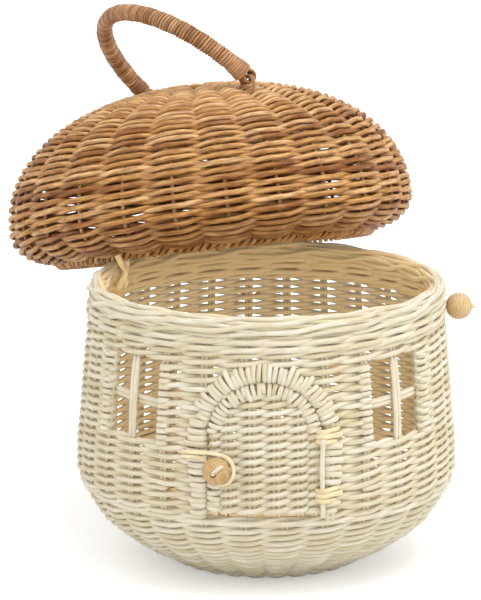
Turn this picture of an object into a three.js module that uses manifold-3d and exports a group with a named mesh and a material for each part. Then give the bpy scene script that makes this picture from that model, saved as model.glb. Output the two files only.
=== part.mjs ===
// Lidded rattan storage basket shaped like a toadstool cottage: a round cane pot with a small arched
// door and two windows, and a domed cane lid with a swing handle that is tied on at one point of the rim.
// Millimetres, +Z up, origin in the middle of the underside. Azimuths are degrees from +X, seen from above.
import * as THREE from 'three';
import { mergeVertices } from 'three/addons/utils/BufferGeometryUtils.js';
import Module from 'manifold-3d';

const wasm = await Module();
wasm.setup();

// The pot
const basketHeight = 208;
const basketRadius = 139.8;
const wallThickness = 8.5;
const baseThickness = 8;
const stakeCount = 28;
const fluteDepth = 2.4;
const fluteFadeHeight = 26;
const seatGap = 0.3;
const basketHeightShares = [0, 0.029, 0.067, 0.115, 0.173, 0.24, 0.327, 0.433, 0.577, 0.745, 0.913, 1];
const basketRadiusShares = [0.5, 0.569, 0.684, 0.785, 0.883, 0.944, 1, 0.998, 0.978, 0.958, 0.933, 0.921];
const weaveRowHeight = 17.4;
const weaveGroove = 2.2;

// Bands that finish the pot
const footWaleHeightShare = 0.2899;
const footWaleWidth = 6.2;
const footWaleProud = 1.4;
const upperWaleWidth = 13;
const upperWaleRows = 3;
const upperWaleProud = 1.1;
const borderRadius = 5.2;
const borderRelief = 0.9;

// The door, its frame and its hinge
const doorAzimuth = -90.5;
const doorWidth = 79;
const doorHeightShare = 0.46635;
const doorSillShare = 0.3096;
const doorSlit = 1.5;
const frameBindingWidth = 7;
const frameBindingProud = 1.5;
const doorBindingWidth = 4;
const doorBindingProud = 1;
const hingeCaneRadius = 1.6;
const hingeTieHeight = 7;
const hingeTieWall = 2.2;
const hingeTieShares = [0.287, 1.012];

// The windows
const windowSpread = 45;
const windowWidth = 46;
const windowHeightShare = 0.2596;
const windowSillShare = 0.548;
const windowFrameWidth = 4;
const windowFrameProud = 0.8;
const barCaneRadius = 1.6;

// Wooden beads, their cane pegs and the loops that go over them
const beadRadius = 9.8;
const pegRadius = 2;
const pegHeadRadius = 3.6;
const pegHeadLength = 1.6;
const doorBeadInset = 7.6;
const doorBeadHeightShare = 0.3773;
const lidBeadAzimuth = -0.5;
const lidBeadDrop = 21;
const loopCaneRadius = 1.4;

// The lid
const lidOverhang = 12.8;
const lidDomeHeight = 97.2;
const lidDomePower = 2.217;
const lidSkirtHeight = 24.5;
const lipInset = 6.25;
const lipBorderRadius = 4;
const lipBorderRelief = 0.7;
const lidThickness = 6;
const undersideThickness = 5.5;
const lidStakeCount = 24;
const lidFluteDepth = 2.6;
const lidRestGap = 1.7;
const lidCrownFade = 20;

// The tie that holds the lid, and how far the lid stands open
const tieInset = 5.9;
const tieAzimuth = 154.5;
const tiePivotRise = 2.9;
const tieLeanX = -0.1906;
const tieLeanY = 0.0494;
const lidOpenAngle = 82.3;
const tieCaneRadius = 0.8;
const tieTwist = 49;
const tieHoleDrop = 20;
const tieHoleSpacing = 13;
const tieWaistDrop = 6;

// The handle on the lid
const handleHalfSpan = 76.7;
const handleRise = 85.8;
const handleAzimuth = -140;
const handlePivotRise = 0.2;
const handleLean = 45.4;
const handleCoreRadius = 3.6;
const handleWrapThickness = 1.7;
const handleRibCount = 52;
const handleRibRelief = 0.55;
const handlePinRadius = 1.6;
const handleEyeClearance = 0.4;
const handleEyeWall = 3;
const handleEyeWidth = 8;
const lashingRadius = 6.6;
const lashingStart = 6;
const lashingLength = 19;
const anchorSpan = 17;
const anchorDepth = 4;

const cutOverrun = 12;
const toRadians = Math.PI / 180;
const straw = { color: 0xeadfbe, roughness: 0.62, metalness: 0 };
const strawShade = { color: 0xdfd0a4, roughness: 0.62, metalness: 0 };
const honey = { color: 0xb57f4a, roughness: 0.55, metalness: 0 };
const honeyShade = { color: 0xa26d3d, roughness: 0.55, metalness: 0 };
const beech = { color: 0xe3b679, roughness: 0.45, metalness: 0 };

// Small helpers for directions and for joining and cutting solids
const outwardAt = (azimuth) => new THREE.Vector3(Math.cos(azimuth * toRadians), Math.sin(azimuth * toRadians), 0);
const alongAt = (azimuth) => new THREE.Vector3(-Math.sin(azimuth * toRadians), Math.cos(azimuth * toRadians), 0);
const up = new THREE.Vector3(0, 0, 1);

function cylinderPoint(radius, azimuth, height) {
  return outwardAt(azimuth).multiplyScalar(radius).setZ(height);
}

// A frame whose X runs along the wall, Y up and Z out of the wall
function wallFrame(azimuth) {
  return new THREE.Matrix4().makeBasis(alongAt(azimuth), up, outwardAt(azimuth));
}

function bare(geometry) {
  const copy = geometry.index ? geometry.clone() : geometry;
  for (const name of Object.keys(copy.attributes)) {
    if (name !== 'position') copy.deleteAttribute(name);
  }
  return mergeVertices(copy);
}

function facingOut(geometry) {
  const place = geometry.attributes.position;
  const index = geometry.index.array;
  const corner = [new THREE.Vector3(), new THREE.Vector3(), new THREE.Vector3()];
  let volume = 0;
  for (let i = 0; i < index.length; i += 3) {
    corner.forEach((point, k) => point.fromBufferAttribute(place, index[i + k]));
    volume += corner[0].dot(corner[1].clone().cross(corner[2]));
  }
  if (volume < 0) {
    for (let i = 0; i < index.length; i += 3) [index[i + 1], index[i + 2]] = [index[i + 2], index[i + 1]];
  }
  return geometry;
}

function solid(geometry) {
  const mesh = facingOut(bare(geometry));
  const used = new Map();
  const vertProperties = [];
  const triVerts = [];
  const index = mesh.index.array;
  for (let i = 0; i < index.length; i += 3) {
    const triangle = [index[i], index[i + 1], index[i + 2]];
    if (new Set(triangle).size < 3) continue;
    for (const old of triangle) {
      if (!used.has(old)) {
        used.set(old, used.size);
        const place = mesh.attributes.position;
        vertProperties.push(place.getX(old), place.getY(old), place.getZ(old));
      }
      triVerts.push(used.get(old));
    }
  }
  return new wasm.Manifold(new wasm.Mesh({
    numProp: 3,
    vertProperties: new Float32Array(vertProperties),
    triVerts: new Uint32Array(triVerts),
  }));
}

function geometryOf(manifold) {
  const mesh = manifold.getMesh();
  const geometry = new THREE.BufferGeometry();
  const places = new Float32Array(mesh.vertProperties.length / mesh.numProp * 3);
  for (let i = 0; i < places.length / 3; i += 1) {
    for (let k = 0; k < 3; k += 1) places[i * 3 + k] = mesh.vertProperties[i * mesh.numProp + k];
  }
  geometry.setAttribute('position', new THREE.BufferAttribute(places, 3));
  geometry.setIndex(Array.from(mesh.triVerts));
  return geometry;
}

function named(name, geometry, finish) {
  const flat = geometry.index ? geometry : bare(geometry);
  const mesh = new THREE.Mesh(flat, new THREE.MeshStandardMaterial(finish));
  mesh.name = name;
  return mesh;
}

// A profile of [radius, height] pairs turned about Z, with a rib at every stake
function turned(profile, segments, startAzimuth = 0, ribAt = null) {
  const points = profile.map(([radius, height]) => new THREE.Vector2(radius, height));
  const geometry = bare(new THREE.LatheGeometry(points, segments, (startAzimuth + 90) * toRadians));
  geometry.rotateX(Math.PI / 2);
  if (ribAt) {
    const place = geometry.attributes.position;
    for (let i = 0; i < place.count; i += 1) {
      const [x, y, z] = [place.getX(i), place.getY(i), place.getZ(i)];
      const radius = Math.hypot(x, y);
      if (radius === 0) continue;
      const scale = 1 - ribAt(Math.atan2(y, x) / toRadians, z, radius) / radius;
      place.setXY(i, x * scale, y * scale);
    }
  }
  return facingOut(geometry);
}

// The same profile moved square to itself by a distance, towards the inside of the pot
function offsetProfile(profile, distance) {
  return profile.map((point, i) => {
    const before = profile[Math.max(i - 1, 0)];
    const after = profile[Math.min(i + 1, profile.length - 1)];
    const run = [after[0] - before[0], after[1] - before[1]];
    const length = Math.hypot(run[0], run[1]);
    return [point[0] - run[1] / length * distance, point[1] + run[0] / length * distance];
  });
}

const closed = (profile) => [...profile, profile[0]];
const everySecond = (profile) => profile.filter((_, i) => i % 2 === 0 || i === profile.length - 1);

// A tube along a smooth curve, closed at its ends or running back into itself
function tube(points, radius, sides, steps, loop = false, section = null) {
  const curve = new THREE.CatmullRomCurve3(points, loop);
  const frames = curve.computeFrenetFrames(steps, loop);
  const outline = section ?? Array.from({ length: sides }, (_, j) => {
    const angle = 2 * Math.PI * j / sides;
    return [Math.cos(angle) * radius, Math.sin(angle) * radius];
  });
  const rings = loop ? steps : steps + 1;
  const places = [];
  for (let i = 0; i < rings; i += 1) {
    const centre = curve.getPointAt(i / steps);
    for (const [a, b] of outline) {
      const point = centre.clone().addScaledVector(frames.normals[i], a).addScaledVector(frames.binormals[i], b);
      places.push(point.x, point.y, point.z);
    }
  }
  return stitched(places, outline.length, rings, loop);
}

// Rings of equal size joined by triangles, with flat ends unless they form a loop
function stitched(places, sides, rings, loop) {
  const index = [];
  for (let i = 0; i < (loop ? rings : rings - 1); i += 1) {
    for (let j = 0; j < sides; j += 1) {
      const a = i * sides + j;
      const b = i * sides + (j + 1) % sides;
      const c = (i + 1) % rings * sides + j;
      const d = (i + 1) % rings * sides + (j + 1) % sides;
      index.push(a, c, b, b, c, d);
    }
  }
  if (!loop) {
    const last = (rings - 1) * sides;
    for (let j = 1; j < sides - 1; j += 1) {
      index.push(0, j, j + 1, last, last + j + 1, last + j);
    }
  }
  const geometry = new THREE.BufferGeometry();
  geometry.setAttribute('position', new THREE.BufferAttribute(new Float32Array(places), 3));
  geometry.setIndex(index);
  return facingOut(geometry);
}

// Heights of the door, the windows and the beads, from the pot's height
const footWaleHeight = basketHeight * footWaleHeightShare;
const doorHeight = basketHeight * doorHeightShare;
const doorSill = basketHeight * doorSillShare;
const doorSpring = doorSill + doorHeight - doorWidth / 2;
const windowHeight = basketHeight * windowHeightShare;
const windowSill = basketHeight * windowSillShare;
const doorBeadHeight = doorSill + doorHeight * doorBeadHeightShare;
const lidBeadHeight = basketHeight - lidBeadDrop;

// Shape of the pot's wall
function basketRadiusAt(height) {
  const share = height / basketHeight;
  const above = Math.max(1, basketHeightShares.findIndex((value) => value >= share));
  const next = above < 0 || share > 1 ? basketHeightShares.length - 1 : above;
  const span = basketHeightShares[next] - basketHeightShares[next - 1];
  const part = (share - basketHeightShares[next - 1]) / span;
  const change = basketRadiusShares[next] - basketRadiusShares[next - 1];
  return basketRadius * (basketRadiusShares[next - 1] + part * change);
}

const stakeAngle = 360 / stakeCount;
const firstStake = doorAzimuth + stakeAngle / 2;
const potSegments = stakeCount * 2;

function basketRib(azimuth, height) {
  const fade = THREE.MathUtils.smoothstep(height, 0, fluteFadeHeight);
  return fade * fluteDepth * (1 - Math.cos((azimuth - firstStake) * toRadians * stakeCount)) / 2;
}

// A profile divided into even rows of weave, with a groove at the foot of every row but the first
function woven(profile, rowHeight, groove) {
  const reach = [0];
  for (let i = 1; i < profile.length; i += 1) {
    reach.push(reach[i - 1] + Math.hypot(profile[i][0] - profile[i - 1][0], profile[i][1] - profile[i - 1][1]));
  }
  const rows = Math.max(1, Math.round(reach.at(-1) / rowHeight));
  const along = Array.from({ length: rows * 2 + 1 }, (_, i) => {
    const place = reach.at(-1) * i / (rows * 2);
    const above = reach.findIndex((value) => value >= place);
    const next = above < 0 ? reach.length - 1 : Math.max(1, above);
    const part = Math.min(1, (place - reach[next - 1]) / (reach[next] - reach[next - 1]));
    return [0, 1].map((k) => THREE.MathUtils.lerp(profile[next - 1][k], profile[next][k], part));
  });
  const sunk = offsetProfile(along, groove);
  return along.map((point, i) => (i % 2 === 0 && i > 0 && i < rows * 2 ? sunk[i] : point));
}

function basketProfile(bottom, top, rows) {
  const inside = basketHeightShares.map((share) => share * basketHeight);
  const heights = rows
    ? Array.from({ length: rows + 1 }, (_, i) => bottom + (top - bottom) * i / rows)
    : [bottom, ...inside.filter((height) => height > bottom + fluteDepth && height < top - fluteDepth), top];
  return heights.map((height) => [basketRadiusAt(height), height]);
}

function wallShell(bottom, top, rows, proud = 0) {
  const middle = basketProfile(bottom, top, rows);
  const outer = proud ? offsetProfile(middle, -proud) : woven(middle, weaveRowHeight, weaveGroove);
  const inner = everySecond(offsetProfile(middle, wallThickness + proud)).reverse();
  return turned(closed([...outer, ...inner]), potSegments, firstStake, basketRib);
}

// Heights at which one band of the pot ends and the next begins
const footWaleBottom = footWaleHeight - footWaleWidth / 2;
const footWaleTop = footWaleHeight + footWaleWidth / 2;
const borderCentreHeight = basketHeight - borderRadius;
const upperWaleTop = basketHeight - borderRadius * 2 - seatGap;
const upperWaleBottom = upperWaleTop - upperWaleWidth;
const sideWallBottom = footWaleTop + seatGap;
const sideWallTop = upperWaleBottom - seatGap;
const wallRows = 6;
const borderCentreRadius = basketRadiusAt(basketHeight) - borderRadius;

function baseDisc() {
  const footRadius = basketRadiusAt(0);
  const lip = offsetProfile(basketProfile(0, footWaleBottom - seatGap), wallThickness)[0];
  const rimInset = (footRadius - lip[0]) * baseThickness / lip[1];
  const edge = footRadius - seatGap * 1.5;
  return turned([[0, 0], [edge, 0], [edge - rimInset, baseThickness], [0, baseThickness]], potSegments, firstStake);
}

function lowerWall() {
  const outer = basketProfile(0, footWaleBottom - seatGap);
  const inner = everySecond(offsetProfile(outer, wallThickness));
  const level = inner.map(([radius, height]) => [radius, Math.min(height, outer.at(-1)[1])]);
  const rows = woven(outer, weaveRowHeight, weaveGroove);
  return turned(closed([...rows, ...level.reverse()]), potSegments, firstStake, basketRib);
}

// One thick twined row, or several above each other, each row standing out in its middle
function waleBand(bottom, top, rows, proud) {
  const rowHeight = (top - bottom) / rows;
  const outer = [];
  for (let row = 0; row < rows; row += 1) {
    const low = bottom + row * rowHeight;
    outer.push([basketRadiusAt(low), low], [basketRadiusAt(low) + proud, low + rowHeight / 2]);
  }
  outer.push([basketRadiusAt(top), top]);
  const inner = [[basketRadiusAt(top) - wallThickness, top], [basketRadiusAt(bottom) - wallThickness, bottom]];
  return turned(closed([...outer, ...inner]), potSegments, firstStake, basketRib);
}

// A plaited edge: a ring whose surface carries slanting strands, two for each stake
function plaitedRing(ringRadius, height, radius, relief, count, startAzimuth) {
  const sides = 8;
  const rings = count * 2;
  const places = [];
  for (let i = 0; i < rings; i += 1) {
    const azimuth = startAzimuth + 360 * i / rings;
    for (let j = 0; j < sides; j += 1) {
      const turn = 2 * Math.PI * j / sides;
      const hollow = relief * (1 - Math.cos(Math.PI * i + 2 * turn)) / 2;
      const reach = radius - hollow;
      places.push(...cylinderPoint(ringRadius + reach * Math.cos(turn), azimuth, height + reach * Math.sin(turn)));
    }
  }
  return stitched(places, sides, rings, true);
}

// Outline of the door, grown or shrunk all round: straight sides under a round arch
function doorOutline(grow, floor = doorSill - grow) {
  const half = doorWidth / 2 + grow;
  const outline = new THREE.Shape();
  outline.moveTo(-half, floor);
  outline.lineTo(half, floor);
  outline.lineTo(half, doorSpring);
  outline.absarc(0, doorSpring, half, 0, Math.PI, false);
  outline.closePath();
  return outline;
}

function windowOutline(grow) {
  const half = windowWidth / 2 + grow;
  const outline = new THREE.Shape();
  outline.moveTo(-half, windowSill - grow);
  outline.lineTo(half, windowSill - grow);
  outline.lineTo(half, windowSill + windowHeight + grow);
  outline.lineTo(-half, windowSill + windowHeight + grow);
  outline.closePath();
  return outline;
}

// An outline pushed through the wall at an azimuth
function throughWall(outline, azimuth, curveSegments = 9) {
  const deepest = basketRadius - wallThickness * 3 - cutOverrun;
  const depth = basketRadius + cutOverrun - deepest;
  const geometry = new THREE.ExtrudeGeometry(outline, { depth, bevelEnabled: false, curveSegments });
  geometry.translate(0, 0, deepest);
  return solid(geometry.applyMatrix4(wallFrame(azimuth)));
}

function peg(azimuth, height, from, to, radius, headRadius) {
  const headed = headRadius > radius;
  const profile = headed
    ? [[0, from], [headRadius, from], [headRadius, from + pegHeadLength], [radius, from + pegHeadLength],
      [radius, to - pegHeadLength], [headRadius, to - pegHeadLength], [headRadius, to], [0, to]]
    : [[0, from], [radius, from], [radius, to], [0, to]];
  const geometry = turned(profile, 12);
  geometry.rotateX(-Math.PI / 2);
  geometry.rotateX(Math.PI / 2);
  geometry.applyMatrix4(wallFrame(azimuth));
  geometry.translate(0, 0, height);
  return geometry;
}

function bead(azimuth, height, centreRadius) {
  const hole = pegRadius + seatGap;
  const reach = Math.acos(hole / beadRadius);
  const arc = Array.from({ length: 9 }, (_, i) => {
    const angle = -reach + 2 * reach * i / 8;
    return [beadRadius * Math.cos(angle), beadRadius * Math.sin(angle)];
  });
  const geometry = turned(closed(arc), 16);
  geometry.applyMatrix4(wallFrame(azimuth).setPosition(cylinderPoint(centreRadius, azimuth, height)));
  return geometry;
}

// Door, frame and hinge sizes that follow from the above
const doorHalfAngle = Math.asin((doorWidth / 2 + doorSlit / 2) / basketRadius) / toRadians;
const hingeAzimuth = doorAzimuth + doorHalfAngle;
const hingeAxisRadius = basketRadius + doorBindingProud + hingeCaneRadius;
const hingeBottom = doorSill + seatGap;
const hingeTop = doorSpring;
const hingePlace = cylinderPoint(hingeAxisRadius, hingeAzimuth, 0);

function uprightAtHinge(profile, segments = 16) {
  return turned(profile, segments).translate(hingePlace.x, hingePlace.y, 0);
}

function hingeCutter(radius, bottom, top) {
  return solid(uprightAtHinge([[0, bottom], [radius, bottom], [radius, top], [0, top]]));
}

const hingeTieMiddles = hingeTieShares.map((share) => doorSill + share * (doorSpring - doorSill));
const tieOuterRadius = hingeCaneRadius + seatGap + hingeTieWall;

function cutForHinge(body) {
  let result = body.subtract(hingeCutter(hingeCaneRadius + seatGap, 0, basketHeight));
  for (const middle of hingeTieMiddles) {
    const half = hingeTieHeight / 2 + seatGap;
    result = result.subtract(hingeCutter(tieOuterRadius + seatGap, middle - half, middle + half));
  }
  return result;
}

function largest(body) {
  return body.decompose().sort((a, b) => b.volume() - a.volume())[0];
}

const doorBeadReach = doorWidth / 2 - doorBeadInset;
const doorBeadAzimuth = doorAzimuth - Math.asin(doorBeadReach / basketRadiusAt(doorBeadHeight)) / toRadians;
const beadEnd = Math.sqrt(beadRadius ** 2 - (pegRadius + seatGap) ** 2);
const pegReach = beadEnd + seatGap + pegHeadLength;
const doorBeadCentre = basketRadiusAt(doorBeadHeight) + beadRadius + seatGap;
const lidBeadCentre = basketRadiusAt(lidBeadHeight) - fluteDepth / 2 + upperWaleProud + beadRadius;

function doorPanel() {
  const shell = solid(wallShell(sideWallBottom, sideWallTop, wallRows));
  const peghole = solid(peg(doorBeadAzimuth, doorBeadHeight, 0, basketRadius + cutOverrun, pegRadius + seatGap, 0));
  const cut = shell.intersect(throughWall(doorOutline(-doorBindingWidth - seatGap), doorAzimuth));
  return geometryOf(largest(cutForHinge(cut.subtract(peghole))));
}

function doorBinding() {
  const shell = solid(wallShell(sideWallBottom, sideWallTop, wallRows, doorBindingProud));
  const outline = throughWall(doorOutline(0), doorAzimuth);
  const band = outline.subtract(throughWall(doorOutline(-doorBindingWidth), doorAzimuth));
  return geometryOf(largest(cutForHinge(shell.intersect(band))));
}

function doorFrameBinding() {
  const shell = solid(wallShell(sideWallBottom, sideWallTop, wallRows, frameBindingProud));
  const sill = sideWallBottom - cutOverrun;
  const outer = throughWall(doorOutline(doorSlit + frameBindingWidth, sill), doorAzimuth, 12);
  const band = outer.subtract(throughWall(doorOutline(doorSlit, sill), doorAzimuth));
  return geometryOf(largest(cutForHinge(shell.intersect(band))));
}

function windowAzimuth(side) {
  return doorAzimuth + side * windowSpread;
}

function sideWall() {
  const sill = sideWallBottom - cutOverrun;
  let wall = solid(wallShell(sideWallBottom, sideWallTop, wallRows));
  const opening = doorOutline(doorSlit + frameBindingWidth + seatGap, sill);
  wall = wall.subtract(throughWall(opening, doorAzimuth, 12));
  for (const side of [-1, 1]) {
    wall = wall.subtract(throughWall(windowOutline(windowFrameWidth + seatGap), windowAzimuth(side)));
  }
  return wall.subtract(solid(doorLoop(loopCaneRadius + seatGap)));
}

function windowFrame(side) {
  const shell = solid(wallShell(sideWallBottom, sideWallTop, wallRows, windowFrameProud));
  const outer = throughWall(windowOutline(windowFrameWidth), windowAzimuth(side));
  return geometryOf(shell.intersect(outer.subtract(throughWall(windowOutline(0), windowAzimuth(side)))));
}

// Two canes lying side by side, as one outline
function pairOutline(across) {
  const spacing = barCaneRadius * 0.97;
  const corners = [];
  for (const centre of [spacing, -spacing]) {
    for (let i = -2; i <= 2; i += 1) {
      const angle = (centre > 0 ? 0 : Math.PI) + i * Math.PI / 3.4;
      corners.push([centre + barCaneRadius * Math.cos(angle), barCaneRadius * Math.sin(angle)]);
    }
  }
  return across ? corners.map(([a, b]) => [b, a]) : corners;
}

function windowMullion(side) {
  const azimuth = windowAzimuth(side);
  const outline = new THREE.Shape(pairOutline(false).map(([a, b]) => new THREE.Vector2(a, b)));
  const bottom = windowSill + seatGap;
  const top = windowSill + windowHeight - seatGap;
  const reach = (height) => basketRadiusAt(height) - wallThickness / 2 + barCaneRadius + seatGap / 2;
  const path = new THREE.LineCurve3(
    new THREE.Vector3(0, bottom, reach(bottom)),
    new THREE.Vector3(0, top, reach(top)),
  );
  const lean = Math.atan2(reach(top) - reach(bottom), top - bottom);
  const geometry = bare(new THREE.ExtrudeGeometry(outline, { depth: path.getLength(), bevelEnabled: false }));
  geometry.rotateX(-Math.PI / 2 + lean);
  geometry.translate(0, bottom, reach(bottom));
  return facingOut(geometry.applyMatrix4(wallFrame(azimuth)));
}

function windowTransom(side) {
  const height = windowSill + windowHeight / 2;
  const radius = basketRadiusAt(height) - wallThickness / 2 - barCaneRadius - seatGap / 2;
  const steps = 6;
  const reach = Math.asin((windowWidth / 2 - seatGap) / radius) / toRadians;
  const corners = pairOutline(true);
  const places = [];
  for (let i = 0; i <= steps; i += 1) {
    const azimuth = windowAzimuth(side) - reach + 2 * reach * i / steps;
    for (const [a, b] of corners) places.push(...cylinderPoint(radius + a, azimuth, height + b));
  }
  return stitched(places, corners.length, steps + 1, false);
}

function lidBeadPeg() {
  const inside = basketRadiusAt(lidBeadHeight) - wallThickness - fluteDepth - pegHeadLength - seatGap;
  return peg(lidBeadAzimuth, lidBeadHeight, inside, lidBeadCentre + pegReach, pegRadius, pegHeadRadius);
}

function doorBeadPeg() {
  const inside = basketRadiusAt(doorBeadHeight) - wallThickness - fluteDepth - pegHeadLength - seatGap;
  return peg(doorBeadAzimuth, doorBeadHeight, inside, doorBeadCentre + pegReach, pegRadius, pegHeadRadius);
}

// Cane loop on the pot that goes round the door's bead: [along the wall, up, out of the wall]
function doorLoop(radius) {
  const anchor = beadRadius * 2.72;
  const hoop = beadRadius + loopCaneRadius + seatGap;
  const low = frameBindingProud + loopCaneRadius + seatGap * 2;
  const high = beadRadius * 0.86;
  const root = -wallThickness / 2;
  const route = [
    [-anchor, hoop * 0.6, root], [-anchor * 0.97, hoop * 0.66, low * 0.9], [-hoop * 1.35, hoop * 0.88, low * 1.2], [-hoop * 0.3, hoop * 1.02, high],
    [hoop * 0.7, hoop * 0.78, high], [hoop * 1.03, 0, high], [hoop * 0.7, -hoop * 0.78, high],
    [-hoop * 0.3, -hoop * 1.02, high * 0.97], [-hoop * 1.35, -hoop * 0.62, low * 1.2],
    [-anchor * 0.97, -hoop * 0.2, low * 0.9], [-anchor, -hoop * 0.14, root],
  ];
  const points = route.map(([along, rise, out]) => {
    const height = doorBeadHeight + rise;
    const azimuth = doorBeadAzimuth + along / basketRadius / toRadians;
    return cylinderPoint(basketRadiusAt(height) + out, azimuth, height);
  });
  return tube(points, radius, 8, 30);
}

// The lid: heights here are above the plane of its widest row
const lidRadius = basketRadius + lidOverhang;
const lipRadius = borderCentreRadius - lipInset;
const handlePivotHeight = lidDomeHeight + handlePivotRise;
const lidStakeAngle = 360 / lidStakeCount;
const lidSegments = lidStakeCount * 2;
const lidMiddleHeight = basketHeight + lidRestGap + lipBorderRadius + lidSkirtHeight;
const lidRib = (azimuth) => lidFluteDepth * (1 - Math.cos(azimuth * toRadians * lidStakeCount)) / 2;

function domeHeightAt(radius) {
  return lidDomeHeight * (1 - (radius / lidRadius) ** lidDomePower) ** (1 / lidDomePower);
}

function domePoint(turn) {
  const radius = lidRadius * Math.cos(turn) ** (2 / lidDomePower);
  return [radius, lidDomeHeight * Math.sin(turn) ** (2 / lidDomePower)];
}

function skirtPoint(turn) {
  const inset = (lidRadius - lipRadius) * Math.cos(turn);
  return [lipRadius + inset, -lidSkirtHeight * Math.sin(turn)];
}

function fadedLidRib(azimuth, height) {
  const crown = THREE.MathUtils.smoothstep(lidDomeHeight - height, 0, lidCrownFade);
  return lidRib(azimuth) * (0.25 + 0.75 * crown);
}

function lidDome() {
  const rows = 8;
  const firstTurn = 0.05;
  const outer = Array.from({ length: rows }, (_, i) => domePoint(firstTurn + (Math.PI / 2 - firstTurn) * i / rows));
  const inner = everySecond(offsetProfile([...outer, [0, lidDomeHeight]], lidThickness).slice(0, -1));
  const inside = inner.map(([radius, height]) => [radius, Math.max(height, outer[0][1])]);
  const crown = [0, lidDomeHeight];
  const profile = [[0, lidDomeHeight - lidThickness], ...inside.reverse(), ...woven([...outer, crown], weaveRowHeight, weaveGroove)];
  return turned(profile, lidSegments, 0, fadedLidRib);
}

const lipSeat = lipBorderRadius + seatGap;

function fadedSkirtRib(azimuth, height, radius) {
  const inset = radius - lipRadius - lipSeat - lidThickness / 2;
  return lidRib(azimuth) * THREE.MathUtils.smoothstep(inset, 0, lidThickness * 2);
}

function lidUnderside() {
  const top = domePoint(0.05);
  const lastTurn = Math.acos(lipSeat / (lidRadius - lipRadius));
  const turns = [0.15, 0.38, 0.6, 0.82, 1].map((share) => share * lastTurn);
  const middle = [[top[0], top[1] - seatGap], ...turns.map(skirtPoint)];
  const inner = offsetProfile(middle.slice().reverse(), undersideThickness).reverse();
  inner[0][1] = middle[0][1];
  const rows = woven(middle.slice().reverse(), weaveRowHeight, weaveGroove).reverse();
  return turned(closed([...rows, ...inner.reverse()]), lidSegments, 0, fadedSkirtRib);
}

function lipBorder() {
  return plaitedRing(lipRadius, -lidSkirtHeight, lipBorderRadius, lipBorderRelief, lidStakeCount, 0);
}

// Cane loop under the lip that hangs outside the wall and goes over the pot's bead when the lid is shut
function lidLoop() {
  const hang = (lipSeat - lipBorderRelief * 0.85 + loopCaneRadius) * Math.SQRT1_2;
  const lipOut = lipRadius + hang;
  const lipHeight = lidMiddleHeight - lidSkirtHeight - hang;
  const clear = basketRadiusAt(basketHeight) + loopCaneRadius + seatGap * 3;
  const out = lidBeadCentre - beadRadius * 0.35;
  const hoop = beadRadius + loopCaneRadius + seatGap * 2.5;
  const above = Math.max(lipHeight, basketHeight + loopCaneRadius + seatGap * 2);
  const strand = (side) => [
    [lipOut, side * hoop * 0.3, lipHeight], [(lipOut + clear) / 2, side * hoop * 0.34, above],
    [clear + loopCaneRadius / 2, side * hoop * 0.5, above], [out, side * hoop * 0.85, basketHeight - beadRadius],
    [out, side * hoop * 1.04, lidBeadHeight],
  ];
  const left = strand(-1);
  const bottom = [[out, -hoop * 0.72, lidBeadHeight - hoop * 0.8], [out, 0, lidBeadHeight - hoop * 1.12],
    [out, hoop * 0.72, lidBeadHeight - hoop * 0.8]];
  const route = [...left, ...bottom, ...strand(1).reverse()];
  const points = route.map(([reach, along, height]) => cylinderPoint(reach, lidBeadAzimuth, height - lidMiddleHeight)
    .addScaledVector(alongAt(lidBeadAzimuth), along));
  return tube(points, loopCaneRadius, 8, 34);
}

// The tie: two linked cane loops, the lower one through the pot's wall, the upper one round the lip
const tieReach = borderCentreRadius - tieInset;
const tiePivotHeight = basketHeight + tiePivotRise;
const tieAxis = new THREE.Vector3(tieLeanX, tieLeanY, Math.sqrt(1 - tieLeanX ** 2 - tieLeanY ** 2));
const tiePivot = cylinderPoint(tieReach, tieAzimuth, tiePivotHeight);
const tieHoleHeight = basketHeight - tieHoleDrop;
const onTieAxis = (height) => tiePivot.clone().addScaledVector(tieAxis, (height - tiePivotHeight) / tieAxis.z);
const linkHalf = tieCaneRadius * 3.8;
const waistHeight = basketHeight - tieWaistDrop;

function tieHole(side, radius) {
  const azimuth = tieAzimuth + side * tieHoleSpacing / 2 / basketRadius / toRadians;
  const from = basketRadiusAt(tieHoleHeight) - wallThickness - cutOverrun;
  return peg(azimuth, tieHoleHeight, from, basketRadius + cutOverrun, radius, 0);
}

function potTieLoop() {
  const waist = onTieAxis(waistHeight + linkHalf * 0.5);
  const twisted = outwardAt(tieAzimuth - tieTwist);
  const inside = basketRadiusAt(tieHoleHeight) - wallThickness - fluteDepth - tieCaneRadius * 1.4;
  const outside = basketRadiusAt(tieHoleHeight) + upperWaleProud + tieCaneRadius + seatGap * 2;
  const hole = (side, reach) => cylinderPoint(reach, tieAzimuth + side * tieHoleSpacing / 2 / basketRadius / toRadians, tieHoleHeight);
  const strand = (side) => {
    const bend = waist.clone().addScaledVector(twisted, -side * linkHalf * 0.75).addScaledVector(up, -linkHalf * 0.35);
    const start = waist.clone().addScaledVector(twisted, -side * linkHalf).addScaledVector(up, -linkHalf * 1.3);
    const low = hole(side, inside - tieCaneRadius).addScaledVector(up, tieCaneRadius * 3);
    return [bend, start, start.clone().lerp(low, 0.55), low, hole(side, inside + tieCaneRadius), hole(side, inside + wallThickness / 2)];
  };
  const points = [
    waist.clone().addScaledVector(up, linkHalf * 0.2), ...strand(1), hole(1, outside - tieCaneRadius * 0.5),
    cylinderPoint(outside + tieCaneRadius, tieAzimuth, tieHoleHeight),
    hole(-1, outside - tieCaneRadius * 0.5), ...strand(-1).reverse(),
  ];
  return tube(points, tieCaneRadius, 6, 44, true);
}

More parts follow.
